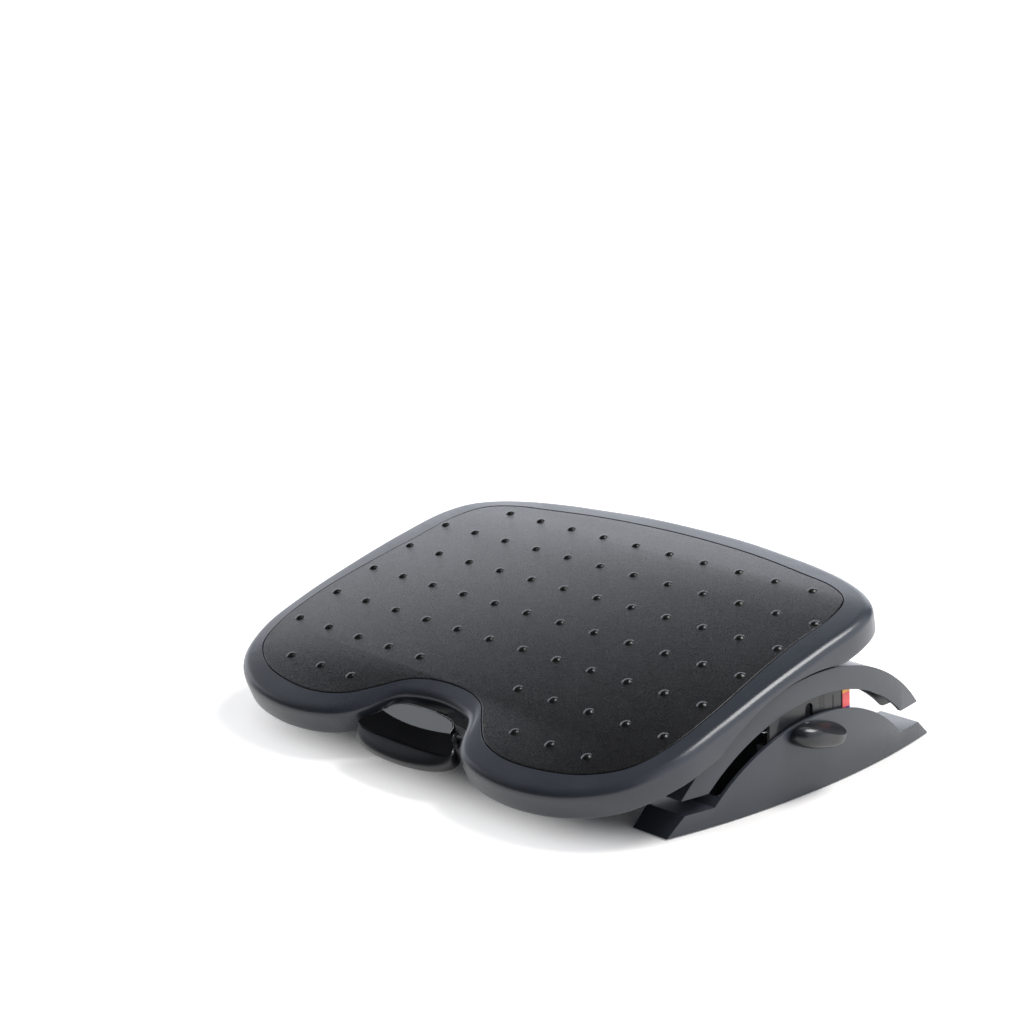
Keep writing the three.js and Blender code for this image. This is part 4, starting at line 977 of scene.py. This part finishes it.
def fixing(name, length, drawing_place, place, body, node, finish=None):
    """A screw on each side."""
    both_sides(name, moved(screw(length), drawing_place), place, body, "steel", node, finish=finish)


FACING_IN = Matrix.Rotation(math.pi, 4, "Z")
for i, (y, z) in enumerate(BEAM_SCREWS, 1):
    spot = Matrix.Translation((FOOT_INNER + 5.5, y, z)) @ FACING_IN
    fixing(f"beam_fixing_{i}", 10, spot, BASE, "base", f"beam_screw_{i}")
for i, (y, z) in enumerate(plate_screws, 1):
    spot = Matrix.Translation((241.2, y, z))
    fixing(f"plate_fixing_{i}", 7, spot, ARCHES, "carriage", f"plate_screw_{i}", black_steel)
spot = Matrix.Translation((ARCH_INNER + 5.5, *tube)) @ FACING_IN
fixing("tube_fixing", 10, spot, ARCHES, "carriage", "tube_screw")
for end, y in (("front", -KEEPER_Y), ("rear", KEEPER_Y)):
    spot = Matrix.Translation((KEEPER_X, y, BOSS_FOOT - 6.2)) @ UPRIGHT
    fixing(end + "_keeper_fixing", 10, spot, DECK, "platform", end + "_keeper_screw")

# %% [markdown]
# ## Liners and keepers
# The deck slides on a thin slippery strip on each arch. Four keepers hook under the arches' flanges and stop
# the deck from lifting off.

# %% Liners and keepers
def sector(inner, outer, start, end, count=32):
    """A ring sector about the tilt axis, angles in degrees from the vertical towards +Y."""
    start, end = math.radians(start), math.radians(end)
    return arch(outer, start, end, count) + arch(inner, end, start, count)


liner_outer = SIDE_OUTER - 3 - (176 * math.sin(math.radians(23))) ** 2 / BOW_RADIUS
liner = rounded(slab(sector(176.4, 177.7, -23, 23, 48), ARCH_INNER + 3, liner_outer), 0.25, 2)
both_sides("liner_strip", liner, DECK, "platform", "glide", "glide_liner")

UNDER_FLANGE = FLANGE_RADIUS - 0.5
for end, sign in (("front", -1), ("rear", 1)):
    angle, y = sign * 20.5, sign * KEEPER_Y
    along = (y - KEEPER_HALF, y + KEEPER_HALF)
    lug_z = (BOSS_FOOT - 3.7, BOSS_FOOT - 0.3)
    hook_side = sector(UNDER_FLANGE - 3.4, UNDER_FLANGE, angle - 2.7, angle + 2.7, 8)
    hook = slab(hook_side, KEEPER_OUTER, ARCH_INNER - 1)
    leg_foot = (UNDER_FLANGE - 3.4) * math.cos(math.radians(20.5)) - 1.7
    leg = block((KEEPER_OUTER, KEEPER_OUTER + 3.4), along, (leg_foot, lug_z[1]))
    lug = block((KEEPER_OUTER - 15, KEEPER_OUTER + 3.4), along, lug_z)
    keeper = rounded(joined(hook, leg, lug), 0.3, 2)
    keeper = cut(keeper, post(2.2, KEEPER_X, y, lug_z[0] - 10, lug_z[1] + 10))
    both_sides(end + "_hook", keeper, DECK, "platform", "plate", end + "_keeper")

# %% [markdown]
# ## The pedal
# The pedal's top is a glossy cap with a raised, slightly hollow block at the back and a long slope to the
# front lip. A satin tray under it flares out like an apron. Both start from the same plan outline. The cap
# is drawn as rings with rounded edges, and its top is then lifted to follow the side view.

# %% Pedal cap
def bezier(a, b, c, d, count):
    return [
        Vector(a) * (1 - t) ** 3 + Vector(b) * 3 * t * (1 - t) ** 2 + Vector(c) * 3 * t ** 2 * (1 - t)
        + Vector(d) * t ** 3
        for t in steps(0, 1, count)
    ]


def pedal_outline(grow, apron=0):
    """Plan of the pedal as (x, y): bowed back, sides that flare, and a front that the apron bows further."""
    back, front = 9.4 + min(grow, 0), -28.5 - grow - apron
    narrow, wide = 40 + grow, 57 + grow
    half = bezier((0, back), (narrow * 0.56, back), (narrow - 2, back - 1), (narrow, -3), 16)
    half += bezier((narrow, -3), (narrow + 3, -12), (wide, -12), (wide, -22), 14)[1:]
    half += bezier((wide, -22), (wide, front + apron / 2), (wide / 2, front), (0, front), 22)[1:]
    mirrored = [Vector((-p.x, p.y)) for p in reversed(half[1:-1])]
    return half + mirrored


def pedal_ring(grow, z, apron=0):
    return [(p.x, p.y, z) for p in pedal_outline(grow, apron)]


def cap_height(x, y, recess):
    """Height of the cap's top above the axle: a slope, a bowed ridge, and a block with a sunken face."""
    ridge = RIDGE_Y + RIDGE_BOW * x ** 2
    lip = -28.5 + 6.5 * abs(x / 57) ** 4
    if y < ridge:
        share = max((y - lip) / (ridge - lip), 0)
        return RIDGE_Z - 3.8 * (1 - share) - 0.5 * math.sin(math.pi * share)
    share = min((y - ridge) / (8 - ridge), 1)
    rim = RIDGE_Z + 1.3 * share ** 0.7
    return rim + recess * (RIDGE_Z + PANEL_RISE * (y - ridge) - rim)


EDGE = 1.2
SUNK = 20
cap_rings = [pedal_ring(-1.6, 4.68), pedal_ring(-0.15, 4.7), pedal_ring(0, 4.9)]
for turn in steps(0, math.pi / 2, 5):
    cap_rings.append(pedal_ring(-EDGE * (1 - math.cos(turn)), 10 + EDGE * math.sin(turn)))
cap_rings += [pedal_ring(-1.5, 10.02 + EDGE), pedal_ring(-1.8, SUNK)]
cap = skin(cap_rings)
bisected(cap, [-29 + i * 0.8 for i in range(49)])
bisected(cap, [-57 + i * 1.5 for i in range(77)], (1, 0, 0))
for vertex in cap.verts:
    if vertex.co.z > 9:
        sunk_share = max(vertex.co.z - 10 - EDGE, 0) / (SUNK - 10 - EDGE)
        edge_drop = min(vertex.co.z, 10 + EDGE) - 10 - EDGE
        vertex.co.z = max(cap_height(vertex.co.x, vertex.co.y, sunk_share) + edge_drop, 5.0)
piece("pedal_cap", cap, PEDAL, "pedal", "gloss", ["pedal_cover"], smooth=50)

# %% [markdown]
# The tray is a loft through wider rings, hollow from below, with ears for the axle and the lever that pulls
# the release link. Its front bows out below the cap and has a round shoulder.

# %% Pedal tray
apron_rings = [
    (-0.5, 4.4, 0), (0, 4.15, 0.5), (0.3, 3.6, 1.8), (0.7, 2.8, 4.0), (1.1, 1.6, 6.4), (1.5, 0.1, 8.6),
    (1.8, -1.6, 10.2), (2.0, -3.4, 11), (2.0, -5.2, 11), (1.7, -6.6, 10.7), (1.0, -7.5, 10),
]
tray = skin([pedal_ring(*each) for each in apron_rings])
tray_room = skin([pedal_ring(-2.6, 1.8), pedal_ring(-0.6, -1.55, 8.4), pedal_ring(-0.6, -17.5, 8.4)])
ears = [rod(4.6, 36.4, 41, sides=40), rod(4.6, -41, -36.4, sides=40)]
tray_zone = skin([pedal_ring(0, 4.4), pedal_ring(2, -1.55, 11), pedal_ring(2, -7.5, 11)])
tray = cut(tray, tray_room)
tray = joined(tray, *[within(ear, tray_zone) for ear in ears])
tray = cut(tray, block((-27.9, -14.6), (-5.1, 5.1), (-4.4, 14.4)), block((-7, 7), (0, 19), (-17.5, -1)))
lever_outline = [(-7, 3.1), *arc(3, math.pi, math.tau, 16, 0, -7), (7, 3.1)]
tray = joined(tray, slab(lever_outline, -4, 0), rod(1.5, -2, 3.2, 0, -7, sides=24))
tray = cut(tray, rod(2.3, -67, 67, sides=32))
piece("pedal_apron", tray, PEDAL, "pedal", "plate", ["pedal_tray"], smooth=35)

# %% [markdown]
# ## Axle, spring and release linkage
# The return spring is wound wire: a small circle carried along a helix by the spin operator, which moves a
# little along the axis at each step.

# %% Axle, spring, link and brake
axle_pin = rounded(rod(2, -53, 53, axle.y, axle.z, sides=40), 0.3, 2, 60)
piece("axle_pin", axle_pin, DECK, "platform", "steel", ["pedal_axle"])

spring = bmesh.new()
wire = bmesh.ops.create_circle(spring, segments=12, radius=0.6, cap_ends=True)["verts"]
bmesh.ops.translate(spring, verts=wire, vec=(-26, 3.2, 0))
turns, per_turn, pitch = 5, 36, 1.9
bmesh.ops.spin(
    spring, geom=everything(spring), axis=(1, 0, 0), cent=(0, 0, 0), dvec=(pitch / per_turn, 0, 0),
    angle=math.tau * turns, steps=turns * per_turn, use_duplicate=False,
)
bmesh.ops.recalc_face_normals(spring, faces=spring.faces)
piece("wound_spring", spring, PEDAL, "pedal", "steel", ["pedal_spring"])

reach = link_run.length
link_outline = arc(3, math.pi / 2, math.pi * 1.5, 20) + arc(3, -math.pi / 2, math.pi / 2, 20, reach)
link = rounded(slab(link_outline, 0.3, 1.9), 0.2, 2)
link = cut(link, *bores([(0, 0), (reach, 0)], -10, 10, 1.9))
piece("link_strip", link, LINK, "release_link", "steel", ["release_link"])

crank_outline = [(7, 0), *arc(3, 0, math.pi, 16, 0, 14), (-7, 0)]
crank = joined(rod(7, -4, 0, sides=48), slab(crank_outline, -4, 0), rod(1.5, -2, 3.2, 0, 14, sides=24))
crank = cut(crank, rod(BORE, -10, 10, sides=32))
piece("crank_arm", crank, CRANK, "brake", "plate", ["brake_crank"])

shaft_bar = rounded(rod(4, -221.5, 221.5, shaft.y, shaft.z, sides=56), 0.4, 2, 60)
piece("shaft_bar", shaft_bar, DECK, "brake", "steel", ["brake_shaft"])

SHOE_FOOT = UNDER_FLANGE - 4.2
ARM = (214.5, 219.9)
arm = slab(sector(SHOE_FOOT - 7.9, SHOE_FOOT - 0.3, -14, 8), *ARM)
arm = joined(arm, rod(7, *ARM, shaft.y, shaft.z, sides=48))
arm = cut(arm, rod(BORE, 0, SIDE_OUTER, shaft.y, shaft.z, sides=32))
both_sides("brake_lever", arm, DECK, "brake", "plate", "brake_arm")
shoe = rounded(slab(sector(SHOE_FOOT, UNDER_FLANGE, -1, 8, 16), *ARM), 0.3, 2)
both_sides("brake_block", shoe, DECK, "brake", "rubber", "brake_shoe")

# %% [markdown]
# ## Floor and light
# The object stands on a plain pale floor. For the camera and for reflections the floor also glows, the more
# so the further it is from a rectangle under the object. So it runs to white, and keeps the shadow nearby.

# %% Floor
floor_mesh = bpy.data.meshes.new("floor")
floor_bm = bmesh.new()
bmesh.ops.create_grid(floor_bm, x_segments=2, y_segments=2, size=12)
floor_bm.to_mesh(floor_mesh)
floor = in_scene("floor", floor_mesh)
floor_finish = Finish(
    "floor_paper", Base_Color=(0.84, 0.82, 0.8, 1), Roughness=0.9, Specular_IOR_Level=0.1,
    Emission_Color=(1, 1, 1, 1),
)
shown = floor_finish.ray("Camera") | floor_finish.ray("Glossy")
RECTANGLE = (("X", 9, 144), ("Y", 35, 67))
across, along = (abs(floor_finish.axis(name) - middle) - half | 0 for name, middle, half in RECTANGLE)
distance = floor_finish.node("Math", {"operation": "SQRT"}, {0: across * across + along * along})
glow = distance.ramp(85, 165, 0.0, 0.7) + distance.ramp(600, 2500, 0.0, 0.5)
floor_finish.feed("Emission Strength", shown * glow)
floor_mesh.materials.append(floor_finish.material)

# %% [markdown]
# The room has two bright walls behind the object and is dim elsewhere. The far half of the deck mirrors them
# at a grazing angle, and the near half stays dark. The camera sees plain white. A lamp above the back puts a
# streak along the right rim.

# %% World and lamps
world = bpy.data.worlds.new("studio")
bpy.context.scene.world = world
sky = Wiring(world, "Background")
direction = sky.node("TexCoord", output="Generated")
right_side, far_side, height = (sky.node("SeparateXYZ", {}, {0: direction}, output=name) for name in "XYZ")
left_wall = height.ramp(0.46, 0.58, 2.0, 0.0) * right_side.ramp(-0.45, -0.1, 1.0, 0.0)
right_wall = height.ramp(0.5, 0.9, 1.25, 0.0) * right_side.ramp(0.0, 0.4)
walls = left_wall * far_side.ramp(-0.5, 0.0) + right_wall * far_side.ramp(-0.6, -0.1)
shown = sky.ray("Camera") | sky.ray("Transmission")
sky.feed("Strength", shown | walls + height.ramp(0.6, 0.85, 0.06, 0.12))
sky.feed("Color", sky.mix(shown, (0.94, 0.98, 1.06, 1), (1, 1, 1, 1)))

lamp = bpy.data.lights.new("streak_light", "AREA")
lamp.shape = "RECTANGLE"
lamp.size = lamp.size_y = 1.0
lamp.energy = 44
streak_light = in_scene("streak_light", lamp)
place, target = Vector((0.9, 0.75, 1.9)), Vector((0, 0, 0.1))
aim = (target - place).to_track_quat("-Z", "Y").to_matrix().to_4x4()
streak_light.matrix_world = Matrix.Translation(place) @ aim
streak_light.visible_camera = False
bpy.context.scene.view_settings.view_transform = "Standard"
print("lamp at", [round(c, 2) for c in place])
